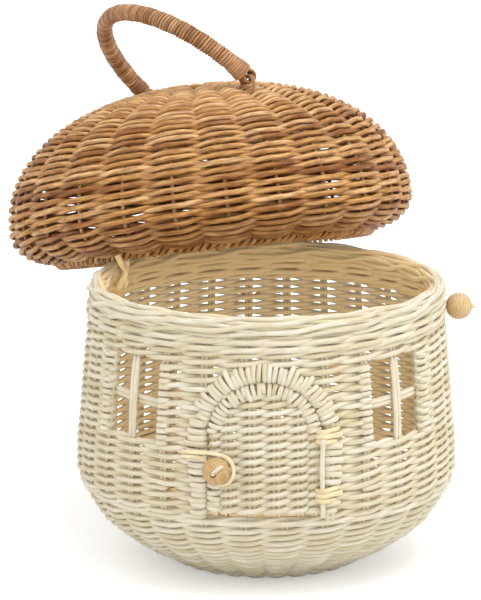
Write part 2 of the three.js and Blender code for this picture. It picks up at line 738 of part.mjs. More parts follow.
// In the lid's own frame, shut
function lidTieLoop() {
  const lip = cylinderPoint(lipRadius, tieAzimuth, lidMiddleHeight - lidSkirtHeight);
  const outward = outwardAt(tieAzimuth);
  const round = lipBorderRadius + tieCaneRadius + seatGap;
  const place = (out, rise) => lip.clone().addScaledVector(outward, out).addScaledVector(up, rise);
  const waist = onTieAxis(waistHeight - linkHalf * 0.5);
  const bend = (side) => waist.clone().addScaledVector(outward, side * linkHalf * 0.75).addScaledVector(up, linkHalf * 0.35);
  const low = (side) => waist.clone().addScaledVector(outward, side * linkHalf).addScaledVector(up, linkHalf * 1.3);
  const points = [
    waist.clone(), bend(1), low(1), place(round * 0.72, -round * 0.74), place(round * 1.02, 0), place(round * 0.6, round * 0.86),
    place(-round * 0.6, round * 0.86), place(-round * 1.02, 0), place(-round * 0.8, -round * 0.8), low(-1), bend(-1),
  ];
  return tube(points, tieCaneRadius, 6, 40, true).translate(0, 0, -lidMiddleHeight);
}

// The handle, in its own frame: X along the line of its two pivots, Z up when it stands upright
const handlePivots = [-1, 1];

function handlePoint(turn) {
  return new THREE.Vector3(handleHalfSpan * Math.cos(turn), 0, handleRise * Math.sin(turn));
}

const handleStartTurn = Math.asin((lashingStart + seatGap) / handleRise);

function handleRing(turn, radius, sides) {
  const centre = handlePoint(turn);
  const forward = new THREE.Vector3(-handleHalfSpan * Math.sin(turn), 0, handleRise * Math.cos(turn)).normalize();
  const across = new THREE.Vector3(0, 1, 0);
  const outwards = across.clone().cross(forward);
  const ring = [];
  for (let j = 0; j < sides; j += 1) {
    const angle = 2 * Math.PI * (j + 0.5) / sides;
    const point = centre.clone().addScaledVector(across, radius * 1.12 * Math.cos(angle))
      .addScaledVector(outwards, radius * 0.94 * Math.sin(angle));
    ring.push(point.x, point.y, point.z);
  }
  return ring;
}

const handleTurnAt = (share) => handleStartTurn + (Math.PI - 2 * handleStartTurn) * share;

function handleCore() {
  const steps = 26;
  const places = [];
  for (let i = 0; i <= steps; i += 1) places.push(...handleRing(handleTurnAt(i / steps), handleCoreRadius, 8));
  return stitched(places, 8, steps + 1, false);
}

// Fine cane wound round the core, as a ribbed sleeve with a bore
const sleeveMargin = (lashingLength + seatGap) / (Math.PI * (handleHalfSpan + handleRise) / 2);

function handleWrap() {
  const sides = 8;
  const outer = [];
  const from = sleeveMargin;
  const span = 1 - 2 * sleeveMargin;
  const crest = handleCoreRadius + seatGap + handleWrapThickness;
  for (let i = 0; i < handleRibCount; i += 1) {
    outer.push([from + span * i / handleRibCount, crest - handleRibRelief]);
    outer.push([from + span * (i + 0.5) / handleRibCount, crest]);
  }
  outer.push([from + span, crest - handleRibRelief]);
  const boreRings = 24;
  const bore = Array.from({ length: boreRings + 1 }, (_, i) => [from + span * (1 - i / boreRings), handleCoreRadius + seatGap]);
  const rings = [...outer, ...bore];
  const places = rings.flatMap(([share, radius]) => handleRing(handleTurnAt(share), radius, sides));
  return stitched(places, sides, rings.length, true);
}

// Eye and lashing at an end of the handle; the eye turns on the crossbar of its anchor
function handleEnd(side) {
  const bore = handlePinRadius + handleEyeClearance;
  const half = handleEyeWidth / 2;
  const eyeOuter = bore + handleEyeWall;
  const eye = turned(closed([[bore, -half], [eyeOuter, -half], [eyeOuter, half], [bore, half]]), 16);
  eye.rotateY(Math.PI / 2);
  eye.translate(side * handleHalfSpan, 0, 0);
  const endShare = side > 0 ? [0, sleeveMargin] : [1, 1 - sleeveMargin];
  const steps = 5;
  const places = [];
  const first = handleStartTurn - seatGap / handleRise;
  for (let i = -1; i <= steps; i += 1) {
    const share = THREE.MathUtils.lerp(endShare[0], endShare[1], Math.max(i, 0) / steps);
    const swell = [0.62, 0.86, 1, 0.95, 1, 0.94, 0.86][i + 1];
    let turn = handleTurnAt(share) - side * seatGap / handleRise;
    if (i < 0) turn = side > 0 ? first * 0.55 : Math.PI - first * 0.55;
    places.push(...handleRing(turn, lashingRadius * swell, 8));
  }
  const lashing = solid(stitched(places, 8, steps + 2, false));
  const pocket = [];
  for (let i = 0; i <= 8; i += 1) {
    const share = side > 0 ? (i - 0.02) / 8 * 1.6 * sleeveMargin : 1 - (i - 0.02) / 8 * 1.6 * sleeveMargin;
    pocket.push(...handleRing(handleTurnAt(share) - side * seatGap / handleRise, handleCoreRadius + seatGap, 8));
  }
  const bar = turned([[0, -half * 2], [bore, -half * 2], [bore, half * 2], [0, half * 2]], 16);
  bar.rotateY(Math.PI / 2);
  bar.translate(side * handleHalfSpan, 0, 0);
  const whole = lashing.add(solid(eye)).subtract(solid(stitched(pocket, 8, 9, false))).subtract(solid(bar));
  return geometryOf(largest(whole));
}

// Anchor on the dome: a bent cane whose two legs go through the weave and whose crossbar is the pivot
function handleAnchor(side, radius, steps) {
  const half = anchorSpan / 2;
  const bend = handlePinRadius * 2.2;
  const inner = handleHalfSpan - half;
  const outer = handleHalfSpan + half;
  const depthAt = (reach) => handlePivotHeight - domeHeightAt(reach) + anchorDepth;
  const points = [
    [inner, -depthAt(inner)], [inner, -bend * 1.5], [inner + bend * 0.35, -bend * 0.4], [inner + bend * 1.3, 0],
    [handleHalfSpan, 0],
    [outer - bend * 1.3, 0], [outer - bend * 0.35, -bend * 0.4], [outer, -bend * 1.5], [outer, -depthAt(outer)],
  ].map(([reach, height]) => new THREE.Vector3(side * reach, 0, height));
  return tube(points, radius, 8, steps);
}

// Put the pieces together
const basket = new THREE.Group();
const lid = new THREE.Group();
const handlePlace = new THREE.Group();
const handle = new THREE.Group();

basket.add(named('base_disc', baseDisc(), straw));
basket.add(named('lower_wall', lowerWall(), straw));
basket.add(named('foot_wale', waleBand(footWaleBottom, footWaleTop, 1, footWaleProud), straw));
const lidBeadBore = solid(peg(lidBeadAzimuth, lidBeadHeight, 0, basketRadius + cutOverrun, pegRadius + seatGap, 0));
let waleSolid = solid(waleBand(upperWaleBottom, upperWaleTop, upperWaleRows, upperWaleProud));
for (const side of [-1, 1]) waleSolid = waleSolid.subtract(solid(tieHole(side, tieCaneRadius + seatGap * 2.5)));
basket.add(named('side_wall', geometryOf(largest(sideWall().subtract(lidBeadBore))), straw));
basket.add(named('upper_wale', geometryOf(largest(waleSolid.subtract(lidBeadBore))), straw));
basket.add(named('rim_border',
  plaitedRing(borderCentreRadius, borderCentreHeight, borderRadius, borderRelief, stakeCount, firstStake), strawShade));

basket.add(named('door_frame_binding', doorFrameBinding(), strawShade));
for (const [side, word] of [[-1, 'left'], [1, 'right']]) {
  basket.add(named(`${word}_window_frame`, windowFrame(side), strawShade));
  basket.add(named(`${word}_window_mullion`, windowMullion(side), straw));
  basket.add(named(`${word}_window_transom`, windowTransom(side), straw));
}
hingeTieMiddles.forEach((middle, i) => {
  const half = hingeTieHeight / 2;
  const bore = hingeCaneRadius + seatGap;
  const profile = [[bore, middle - half], [tieOuterRadius, middle - half * 0.8], [tieOuterRadius, middle + half * 0.8],
    [bore, middle + half]];
  basket.add(named(`door_hinge_tie_${['lower', 'upper'][i]}`, uprightAtHinge(closed(profile), 12), strawShade));
});
basket.add(named('lid_bead', bead(lidBeadAzimuth, lidBeadHeight, lidBeadCentre), beech));
basket.add(named('lid_bead_peg', lidBeadPeg(), straw));
basket.add(named('door_loop', doorLoop(loopCaneRadius), strawShade));
basket.add(named('pot_tie_loop', potTieLoop(), strawShade));

basket.add(named('door_panel', doorPanel(), straw));
basket.add(named('door_binding', doorBinding(), strawShade));
const hingeCaneProfile = [[0, hingeBottom], [hingeCaneRadius, hingeBottom], [hingeCaneRadius, hingeTop], [0, hingeTop]];
basket.add(named('door_hinge_cane', uprightAtHinge(hingeCaneProfile, 12), straw));
basket.add(named('door_bead', bead(doorBeadAzimuth, doorBeadHeight, doorBeadCentre), beech));
basket.add(named('door_bead_peg', doorBeadPeg(), straw));

// Lid pieces are modelled shut and level, then turned about the tie to the open place
const lidToPot = new THREE.Matrix4().makeTranslation(0, 0, lidMiddleHeight);
const handleTurn = new THREE.Matrix4().makeRotationZ(handleAzimuth * toRadians).setPosition(0, 0, handlePivotHeight);
let dome = solid(lidDome());
for (const side of handlePivots) {
  const leg = handleAnchor(side, handlePinRadius + seatGap, 26).applyMatrix4(handleTurn);
  dome = dome.subtract(solid(leg));
}
const tieInUnderside = tube([...Array(9).keys()].map((i) => {
  const turn = 2 * Math.PI * i / 9;
  const round = lipBorderRadius + tieCaneRadius + seatGap;
  return cylinderPoint(lipRadius + round * 1.04 * Math.cos(turn), tieAzimuth, round * 1.04 * Math.sin(turn) - lidSkirtHeight);
}), tieCaneRadius + seatGap * 2, 8, 24, true);
const underside = solid(lidUnderside()).subtract(solid(tieInUnderside));
lid.add(named('lid_dome', geometryOf(dome), honey));
lid.add(named('lid_underside', geometryOf(largest(underside)), honeyShade));
lid.add(named('lid_border', lipBorder(), honeyShade));
lid.add(named('lid_loop', lidLoop(), honeyShade));
lid.add(named('lid_tie_loop', lidTieLoop(), strawShade));
lid.add(handlePlace);

for (const [side, word] of [[-1, 'back'], [1, 'front']]) {
  handlePlace.add(named(`handle_anchor_${word}`, handleAnchor(side, handlePinRadius, 26), honeyShade));
  handle.add(named(`handle_end_${word}`, handleEnd(side), honeyShade));
}
handle.add(named('handle_core', handleCore(), honey));
handle.add(named('handle_wrap', handleWrap(), honey));
handlePlace.add(handle);
handlePlace.applyMatrix4(handleTurn);
handle.rotation.x = handleLean * toRadians;

const opened = new THREE.Matrix4().makeTranslation(tiePivot)
  .multiply(new THREE.Matrix4().makeRotationAxis(tieAxis, lidOpenAngle * toRadians))
  .multiply(new THREE.Matrix4().makeTranslation(tiePivot.clone().negate()))
  .multiply(lidToPot);
lid.applyMatrix4(opened);

const part = new THREE.Group();
part.add(basket, lid);

export default part;
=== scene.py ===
# Lidded rattan basket: every cane of the twined walls, borders, ties and wraps as its own round cane
import math

import bpy
import numpy as np
from mathutils import Matrix, Vector


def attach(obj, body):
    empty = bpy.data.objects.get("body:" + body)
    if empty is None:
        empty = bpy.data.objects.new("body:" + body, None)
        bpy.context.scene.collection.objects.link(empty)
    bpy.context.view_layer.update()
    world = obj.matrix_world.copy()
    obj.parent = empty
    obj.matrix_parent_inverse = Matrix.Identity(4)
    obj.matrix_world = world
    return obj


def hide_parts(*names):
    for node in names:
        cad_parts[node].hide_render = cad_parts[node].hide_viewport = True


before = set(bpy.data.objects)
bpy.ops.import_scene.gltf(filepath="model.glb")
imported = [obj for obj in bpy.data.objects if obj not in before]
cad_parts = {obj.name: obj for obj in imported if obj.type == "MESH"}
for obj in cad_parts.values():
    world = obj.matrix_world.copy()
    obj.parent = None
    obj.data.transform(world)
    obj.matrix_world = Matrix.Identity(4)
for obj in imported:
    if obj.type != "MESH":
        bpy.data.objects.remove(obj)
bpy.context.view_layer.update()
print("frame loaded")

mm = 0.001
luck = np.random.default_rng(7)  # one seeded source, so that each run gives the same basket


# Small helpers

def hexToLinear(code):
    parts = [int(code[i:i + 2], 16) / 255 for i in (1, 3, 5)]
    return [c / 12.92 if c <= 0.04045 else ((c + 0.055) / 1.055) ** 2.4 for c in parts] + [1.0]


# Adds a node; a socket goes by its name, or by its number where names repeat
def addNode(tree, kind, settings=None, links=None):
    node = tree.nodes.new(kind)
    for key, value in (settings or {}).items():
        if isinstance(key, int) or key in node.inputs:
            node.inputs[key].default_value = value
        else:
            setattr(node, key, value)
    for key, source in (links or {}).items():
        tree.links.new(source, node.inputs[key])
    return node


def blankMaterial(name):
    material = bpy.data.materials.new(name)
    material.use_nodes = True
    material.node_tree.nodes.clear()
    return material


def smooth(a, b, x):
    t = np.clip((np.asarray(x, float) - a) / (b - a), 0, 1)
    return t * t * (3 - 2 * t)


def unit(v):
    return v / np.maximum(np.linalg.norm(v, axis=-1, keepdims=True), 1e-12)


def onceRound(count):
    return 2 * np.pi * np.arange(count) / count


def polar(radius, angle, height):
    return np.stack(np.broadcast_arrays(radius * np.cos(angle), radius * np.sin(angle), height), -1)


def lengthsAlong(points):
    return np.concatenate([[0], np.cumsum(np.linalg.norm(np.diff(points, axis=0), axis=1))])


def squared(wave, power):  # a power under 1 makes a sine or cosine squarer, over 1 more pointed
    return np.sign(wave) * np.abs(wave) ** power


def flatTop(wave):  # a cosine that stays longer at its ends
    return wave * (1.32 - 0.32 * wave * wave)


def slowWaves(reach, size, runs, count):
    return sum(luck.normal(0, size) * np.sin(reach / luck.uniform(*runs) + luck.uniform(0, 6.28))
               for _ in range(count))


# How pale a cane is along its length: each cane its own, drifting slowly
def caneTone(reach):
    base = 0.5 + luck.normal(0, 0.22)
    return np.clip(base + slowWaves(reach, 0.16, (18, 90), 3), 0, 1)


def wrapTone():  # a short wrap has one tone
    return np.clip(0.6 + luck.normal(0, 0.2), 0, 1)


# Materials: fibres are counted round a cane, streaks and patches for each metre, so that 60 is one in 17 mm

def caneMaterial(name, look):
    material = blankMaterial(name)
    tree = material.node_tree
    tone = addNode(tree, "ShaderNodeAttribute", {"attribute_name": "tone"})
    inner = addNode(tree, "ShaderNodeAttribute", {"attribute_name": "inner"})
    uv = addNode(tree, "ShaderNodeUVMap", {"uv_map": "UVMap"})
    place = addNode(tree, "ShaderNodeTexCoord")
    fibreSpace = addNode(tree, "ShaderNodeMapping", {"Scale": (look["fibres"], look["streaks"], 1)},
                         {"Vector": uv.outputs["UV"]})
    fibre = addNode(tree, "ShaderNodeTexNoise", {"Scale": 1.0, "Detail": 3.0, "Roughness": 0.6},
                    {"Vector": fibreSpace.outputs["Vector"]})
    patch = addNode(tree, "ShaderNodeTexNoise", {"Scale": look["patches"], "Detail": 2.0},
                    {"Vector": place.outputs["Object"]})
    ramp = addNode(tree, "ShaderNodeValToRGB", links={"Fac": tone.outputs["Fac"]})
    ramp.color_ramp.elements[0].color = hexToLinear(look["deep"])
    ramp.color_ramp.elements[1].color = hexToLinear(look["pale"])
    ramp.color_ramp.elements.new(0.5).color = hexToLinear(look["body"])
    patchShare = addNode(tree, "ShaderNodeMapRange",
                         {"From Min": 0.45, "From Max": 0.75, "To Max": look["patchShare"]},
                         {"Value": patch.outputs["Fac"]})
    patched = addNode(tree, "ShaderNodeMix", {"data_type": "RGBA", 7: hexToLinear(look["blush"])},
                      {0: patchShare.outputs["Result"], 6: ramp.outputs["Color"]})
    fibreShare = addNode(tree, "ShaderNodeMapRange",
                         {"From Min": 0.62, "From Max": 0.38, "To Max": look["fibreShare"]},
                         {"Value": fibre.outputs["Fac"]})
    streaked = addNode(tree, "ShaderNodeMix",
                       {"data_type": "RGBA", "blend_type": "MULTIPLY", 7: hexToLinear(look["fibreTint"])},
                       {0: fibreShare.outputs["Result"], 6: patched.outputs[2]})
    # The inside colour, mixed in by the inner attribute, is painted shade on faces that look inwards and on
    # canes set back or covered
    coloured = addNode(tree, "ShaderNodeMix",
                       {"data_type": "RGBA", "blend_type": look.get("paintedShadeBlend", "MULTIPLY"),
                        7: hexToLinear(look["inside"])},
                       {0: inner.outputs["Fac"], 6: streaked.outputs[2]})
    bump = addNode(tree, "ShaderNodeBump", {"Strength": look["bump"], "Distance": 0.4 * mm},
                   {"Height": fibre.outputs["Fac"]})
    shader = addNode(tree, "ShaderNodeBsdfPrincipled",
                     {"Roughness": look["roughness"], "IOR": 1.45, "Specular IOR Level": look["gloss"]},
                     {"Base Color": coloured.outputs[2], "Normal": bump.outputs["Normal"]})
    addNode(tree, "ShaderNodeOutputMaterial", links={"Surface": shader.outputs["BSDF"]})
    return material


# Peeled round core cane, split and dried: matt cream with faint long fibres; its warm tan inside colour is
# painted shade, for faces that look into the basket and canes set deep in the wall
peeledCane = caneMaterial("peeled_core_cane", {
    "deep": "#cac1a4", "body": "#d3ccb9", "pale": "#dad5c6", "blush": "#d4c7b1",
    "inside": "#e6cd9d", "paintedShadeBlend": "MIX", "fibreTint": "#e4d8bc",
    "fibres": 5, "streaks": 60, "patches": 55, "patchShare": 0.45, "fibreShare": 0.55,
    "bump": 0.25, "roughness": 0.65, "gloss": 0.15})
# The same cane soaked in brown stain: honey with brown streaks, greyer where the stain took badly; its deep
# brown inside colour is painted shade, for the lid's inward faces and its skirt
honeyCane = caneMaterial("stained_core_cane", {
    "deep": "#925c26", "body": "#c2914f", "pale": "#dab27d", "blush": "#bf9a70",
    "inside": "#864a12", "fibreTint": "#98642c",
    "fibres": 6, "streaks": 70, "patches": 60, "patchShare": 0.5, "fibreShare": 0.7,
    "bump": 0.35, "roughness": 0.5, "gloss": 0.4})
# Fine stained cane, wound tight and handled: browner and a little shinier
windingCane = caneMaterial("wound_fine_cane", {
    "deep": "#85582f", "body": "#b08050", "pale": "#cba477", "blush": "#a67c58",
    "inside": "#d0a070", "fibreTint": "#8a5f3b",
    "fibres": 6, "streaks": 90, "patches": 90, "patchShare": 0.5, "fibreShare": 0.6,
    "bump": 0.25, "roughness": 0.42, "gloss": 0.5})
# Flat outer cane with its skin left on: yellower and smoother than the core
skinCane = caneMaterial("flat_skin_cane", {
    "deep": "#d2be8b", "body": "#dccea6", "pale": "#e6dab9", "blush": "#d8c08e",
    "inside": "#e6cd9c", "fibreTint": "#cdb883",
    "fibres": 4, "streaks": 80, "patches": 70, "patchShare": 0.4, "fibreShare": 0.4,
    "bump": 0.15, "roughness": 0.38, "gloss": 0.5})
# Split cane with the skin on, for the tie: warmer than the flat one and duller, and made much paler as painted
# light, so that it stays bright in the lid's shadow
paintedLightTieCane = caneMaterial("split_cane_painted_light", {
    "deep": "#efcf92", "body": "#ffecbf", "pale": "#fff8dd", "blush": "#fbdfa8",
    "inside": "#f2c98c", "fibreTint": "#e8c083",
    "fibres": 7, "streaks": 60, "patches": 55, "patchShare": 0.4, "fibreShare": 0.5,
    "bump": 0.2, "roughness": 0.5, "gloss": 0.35})


# Turned beech, sanded and waxed: curved growth rings about 4 mm apart, short darker flecks and a soft sheen
def beechMaterial(name, look):
    material = blankMaterial(name)
    tree = material.node_tree
    place = addNode(tree, "ShaderNodeTexCoord")
    grain = addNode(tree, "ShaderNodeMapping",
                    {"Location": look["shift"], "Rotation": look["lean"], "Scale": (1, 1, 0.18)},
                    {"Vector": place.outputs["Object"]})
    rings = addNode(tree, "ShaderNodeTexWave",
                    {"wave_type": "RINGS", "Scale": look["rings"], "Distortion": 2.2, "Detail": 2.0},
                    {"Vector": grain.outputs["Vector"]})
    flecks = addNode(tree, "ShaderNodeTexNoise", {"Scale": 900.0, "Detail": 3.0},  # one in about 1 mm
                     {"Vector": grain.outputs["Vector"]})
    ramp = addNode(tree, "ShaderNodeValToRGB", links={"Fac": rings.outputs["Fac"]})
    ramp.color_ramp.elements[0].color = hexToLinear(look["late"])
    ramp.color_ramp.elements[1].color = hexToLinear(look["early"])
    fleckShare = addNode(tree, "ShaderNodeMapRange", {"From Min": 0.6, "From Max": 0.4, "To Max": 0.35},
                         {"Value": flecks.outputs["Fac"]})
    flecked = addNode(tree, "ShaderNodeMix",
                      {"data_type": "RGBA", "blend_type": "MULTIPLY", 7: hexToLinear("#c99a5e")},
                      {0: fleckShare.outputs["Result"], 6: ramp.outputs["Color"]})
    shader = addNode(tree, "ShaderNodeBsdfPrincipled",
                     {"Roughness": 0.42, "IOR": 1.47, "Coat Weight": 0.15, "Coat Roughness": 0.3},
                     {"Base Color": flecked.outputs[2]})
    addNode(tree, "ShaderNodeOutputMaterial", links={"Surface": shader.outputs["BSDF"]})
    return material


print("materials mixed")


# Canes as meshes: a bundle gathers the canes of one piece

class CaneBundle:
    def __init__(self):
        self.verts, self.faces, self.uvs, self.tones, self.inners = [], [], [], [], []
        self.count = 0

    # A cane along points, its deep side turned to refs: wide and deep are half sizes,
    # inner is how much of the material's inside colour it takes, painted shade where it looks inwards or lies
    # covered
    def add(self, points, refs, wide, deep=None, sides=8, loop=False, tone=None, inner=0.0, taper=False):
        points = np.asarray(points, float)
        n = len(points)
        refs = np.broadcast_to(np.asarray(refs, float), points.shape)
        if loop:
            tangent = unit(np.roll(points, -1, 0) - np.roll(points, 1, 0))
        else:
            tangent = unit(np.gradient(points, axis=0))
        outwards = unit(refs - (refs * tangent).sum(1, keepdims=True) * tangent)
        across = np.cross(tangent, outwards)
        wide = np.broadcast_to(np.asarray(wide, float), (n,)).copy()
        deep = wide.copy() if deep is None else np.broadcast_to(np.asarray(deep, float), (n,)).copy()
        if taper:
            for k, share in ((0, 0.55), (1, 0.9), (-1, 0.55), (-2, 0.9)):
                wide[k] *= share
                deep[k] *= share
        angle = onceRound(sides)
        ring = (points[:, None, :] + (wide[:, None] * np.cos(angle)[None])[..., None] * across[:, None, :]
                + (deep[:, None] * np.sin(angle)[None])[..., None] * -outwards[:, None, :])
        reach = lengthsAlong(points)
        total = reach[-1] + np.linalg.norm(points[0] - points[-1]) if loop else reach[-1]
        here = np.arange(n if loop else n - 1)
        ahead = (here + 1) % n
        left = np.arange(sides)
        right = (left + 1) % sides
        pairs = ((here, left), (here, right), (ahead, right), (ahead, left))
        corners = [row[:, None] * sides + side[None] for row, side in pairs]
        quads = np.stack(corners, -1).reshape(-1, 4) + self.count
        start, stop = reach[here], np.where(ahead == 0, total, reach[ahead])
        seed = luck.uniform(0, 500)
        grid = (len(here), sides)
        u = np.stack([np.broadcast_to(side / sides, grid) for side in (left, left + 1, left + 1, left)], -1)
        v = np.stack([np.broadcast_to(end[:, None], grid) for end in (start, start, stop, stop)], -1)
        self.verts.append(ring.reshape(-1, 3))
        self.faces.extend(quads.tolist())
        self.uvs.append(np.stack([u + seed, v * mm + seed], -1).reshape(-1, 2))
        if not loop:
            self.faces.append([self.count + j for j in range(sides - 1, -1, -1)])
            self.faces.append([self.count + (n - 1) * sides + j for j in range(sides)])
            self.uvs.append(np.tile([seed, seed], (2 * sides, 1)))
        tone = caneTone(reach) if tone is None else np.asarray(tone, float)
        self.tones.append(np.repeat(np.broadcast_to(tone, (n,)), sides))
        inner = np.asarray(inner, float)
        inner = inner[:, None] if inner.ndim == 1 else inner
        self.inners.append(np.broadcast_to(inner, (n, sides)).reshape(-1))
        self.count += n * sides

    def build(self, name, material, body, slot, replaces=None, place=None):
        verts = np.concatenate(self.verts)
        if place is not None:
            verts = verts @ np.array(place)[:3, :3].T + np.array(place)[:3, 3]
        mesh = bpy.data.meshes.new(name)
        mesh.from_pydata((verts * mm).tolist(), [], self.faces)
        uvs = np.concatenate(self.uvs).astype(np.float32)
        mesh.uv_layers.new(name="UVMap").data.foreach_set("uv", uvs.ravel())
        for key, values in (("tone", self.tones), ("inner", self.inners)):
            layer = mesh.attributes.new(key, "FLOAT", "POINT")
            layer.data.foreach_set("value", np.concatenate(values).astype(np.float32))
        mesh.polygons.foreach_set("use_smooth", np.ones(len(mesh.polygons), bool))
        mesh.validate()
        mesh.update()
        piece = bpy.data.objects.new(name, mesh)
        bpy.context.collection.objects.link(piece)
        finishPiece(piece, material, body, slot, replaces)


# Sets a piece's material and body, and hides what it replaces: the node of its slot, unless others are given
def finishPiece(piece, material, body, slot, replaces=None):
    piece.data.materials.append(material)
    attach(piece, body)
    nodes = [slot] if replaces is None else replaces
    if nodes:
        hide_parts(*nodes)
    print("built", piece.name, len(piece.data.polygons), "faces")


# Shape of the pot and its openings, in mm

pot = {"height": 208.0, "radius": 139.8, "wall": 8.5, "stakes": 28, "doorAzimuth": -90.5,
       "heightShares": [0, 0.029, 0.067, 0.115, 0.173, 0.24, 0.327, 0.433, 0.577, 0.745, 0.913, 1],
       "radiusShares": [0.5, 0.569, 0.684, 0.785, 0.883, 0.944, 1, 0.998, 0.978, 0.958, 0.933, 0.921]}
door = {"half": 39.5, "sill": 64.4, "height": 97.0, "slit": 1.5}
window = {"spread": 45.0, "half": 23.0, "sill": 114.0, "height": 54.0, "rowRoom": 2.2, "sideRoom": 4.6}
potHeights = np.array(pot["heightShares"]) * pot["height"]
potRadii = np.array(pot["radiusShares"]) * pot["radius"]
doorTop = door["sill"] + door["height"]
doorSpring = doorTop - door["half"]
windowTop = window["sill"] + window["height"]
stakeStep = 360 / pot["stakes"]


# A smooth curve through (radius, height) points, moved inwards by depth and measured along its length
class Profile:
    def __init__(self, points, depth, samples=600, smoothing=31):
        pts = np.asarray(points, float)
        t = lengthsAlong(pts)
        fine = np.linspace(0, t[-1], samples)
        kernel = np.hanning(smoothing)
        kernel /= kernel.sum()
        r, z = [np.convolve(np.pad(np.interp(fine, t, values), smoothing // 2, mode="reflect",
                                   reflect_type="odd"), kernel, "valid")
                for values in (pts[:, 0], pts[:, 1])]
        self.tangent = unit(np.stack([np.gradient(r), np.gradient(z)], 1))
        self.normal = np.stack([self.tangent[:, 1], -self.tangent[:, 0]], 1)
        self.r, self.z = r - self.normal[:, 0] * depth, z - self.normal[:, 1] * depth
        self.s = np.concatenate([[0], np.cumsum(np.hypot(np.diff(self.r), np.diff(self.z)))])

    def at(self, s):  # radius, height, and the parts of the outward normal and of the way along
        columns = (self.r, self.z, *self.normal.T, *self.tangent.T)
        return [np.interp(s, self.s, column) for column in columns]

    def atHeight(self, z):
        return np.interp(z, self.z, self.s)


potProfile = Profile(np.stack([potRadii, potHeights], 1), pot["wall"] / 2)


# A point of a wall: azimuth in degrees, length along the profile, offset out of the wall and along it
def onWall(profile, azimuth, s, out=0.0, along=0.0):
    r, z, nr, nz, tr, tz = profile.at(s)
    a = np.radians(azimuth)
    return polar(r + out * nr + along * tr, a, z + out * nz + along * tz), polar(nr, a, nz)


def potRadius(height):
    return float(np.interp(height, potHeights, potRadii))


def degreesAt(width, height):
    return math.degrees(math.asin(min(0.99, width / (potRadius(height) - 2))))


def regularStake(k):
    return pot["doorAzimuth"] + stakeStep / 2 + stakeStep * k


def degreesApart(azimuth, other):
    return np.abs((np.asarray(azimuth) - other + 180) % 360 - 180)


# Twining: pairs of canes that change sides between the stakes

# The canes are a little thicker round the door, where the rows stand further apart
def fuller(azimuth, look):
    towardsDoor = np.cos(np.radians(np.asarray(azimuth) - pot["doorAzimuth"]))
    return 1 + look.get("front", 0) * np.clip(towardsDoor, 0, 1) ** 3


# How far a cane of a pair is off its row: most where the two change places between stakes
def offRow(phase, look):
    return (look["cross"] * squared(np.sin(phase), look.get("power", 3.6))
            - look.get("lean", 0) * flatTop(np.cos(phase)))


# The face of a cane that looks into the basket, and a cane set further in, takes more of the inside colour as
# painted shade: "warm" scales that, "shade" adds to it
def paintedShadeShare(out, look, sides):
    facing = np.sin(onceRound(sides))[None] * 0.5 + 0.5
    depth = 0.5 - np.asarray(out)[:, None] / look["swing"] * 0.5
    return np.clip((facing ** 2 * 0.8 + depth * 0.45 - 0.3) * look.get("warm", 1) + look.get("shade", 0), 0, 1)


# A whole ring of twined cane: two strands (or three) that change sides between stakes
def twinedRing(bundle, profile, s, count, first, look, strands=2, steps=8, sides=8, lift=None):
    index = np.arange(count * steps) / steps
    azimuth = first + index * 360 / count
    reach = np.radians(azimuth) * profile.at(s)[0]
    for strand in range(strands):
        if strands == 2:
            phase = np.pi * (index + strand)
        else:
            phase = 2 * np.pi * (round(count / 3) * index / count + strand / strands)
        out = look["swing"] * flatTop(np.cos(phase))
        shift = slowWaves(reach, look.get("wobble", 0.12), (25, 70), 2)
        shift = shift + (shift[0] - shift[-1]) * np.linspace(0, 1, len(shift))
        lifted = s + (lift(azimuth) if lift else 0)
        points, normals = onWall(profile, azimuth, lifted, out, offRow(phase, look) + shift)
        wide = look["cane"] * (1 + luck.normal(0, 0.035)) * fuller(azimuth, look)
        # paintedTopLight raises the tone of the lid's upper rows: painted light
        bundle.add(points, normals, wide, sides=sides, loop=True, tone=caneTone(reach) + look.get("paintedTopLight", 0),
                   inner=paintedShadeShare(out, look, sides))


# A row between two openings: the pair of strands turns back round the last stake at each end
def twinedRun(bundle, profile, s, stakes, look, parity=0, steps=8, lift=None):
    last = len(stakes) - 1
    index = np.linspace(0, last, last * steps + 1)
    turn = np.linspace(0, np.pi, 7)[1:-1]
    bulge = np.degrees(look["turn"] * np.sin(turn) / float(profile.at(s)[0]))
    azimuth, out, along = [], [], []
    for strand, way, end in ((0, 1, stakes[-1]), (1, -1, stakes[0])):
        phase = np.pi * (index + parity + strand)
        around = np.interp(index, np.arange(last + 1), stakes)
        azimuth += [around[::way], end + way * bulge]
        for part, values in ((out, look["swing"] * flatTop(np.cos(phase))), (along, offRow(phase, look))):
            part += [values[::way], values[::way][-1] * np.cos(turn)]
    azimuth, out, along = map(np.concatenate, (azimuth, out, along))
    points, normals = onWall(profile, azimuth, s + lift(azimuth), out, along)
    wide = look["cane"] * (1 + luck.normal(0, 0.03)) * fuller(azimuth, look)
    bundle.add(points, normals, wide, loop=True, tone=caneTone(lengthsAlong(points)),
               inner=paintedShadeShare(out, look, 8))


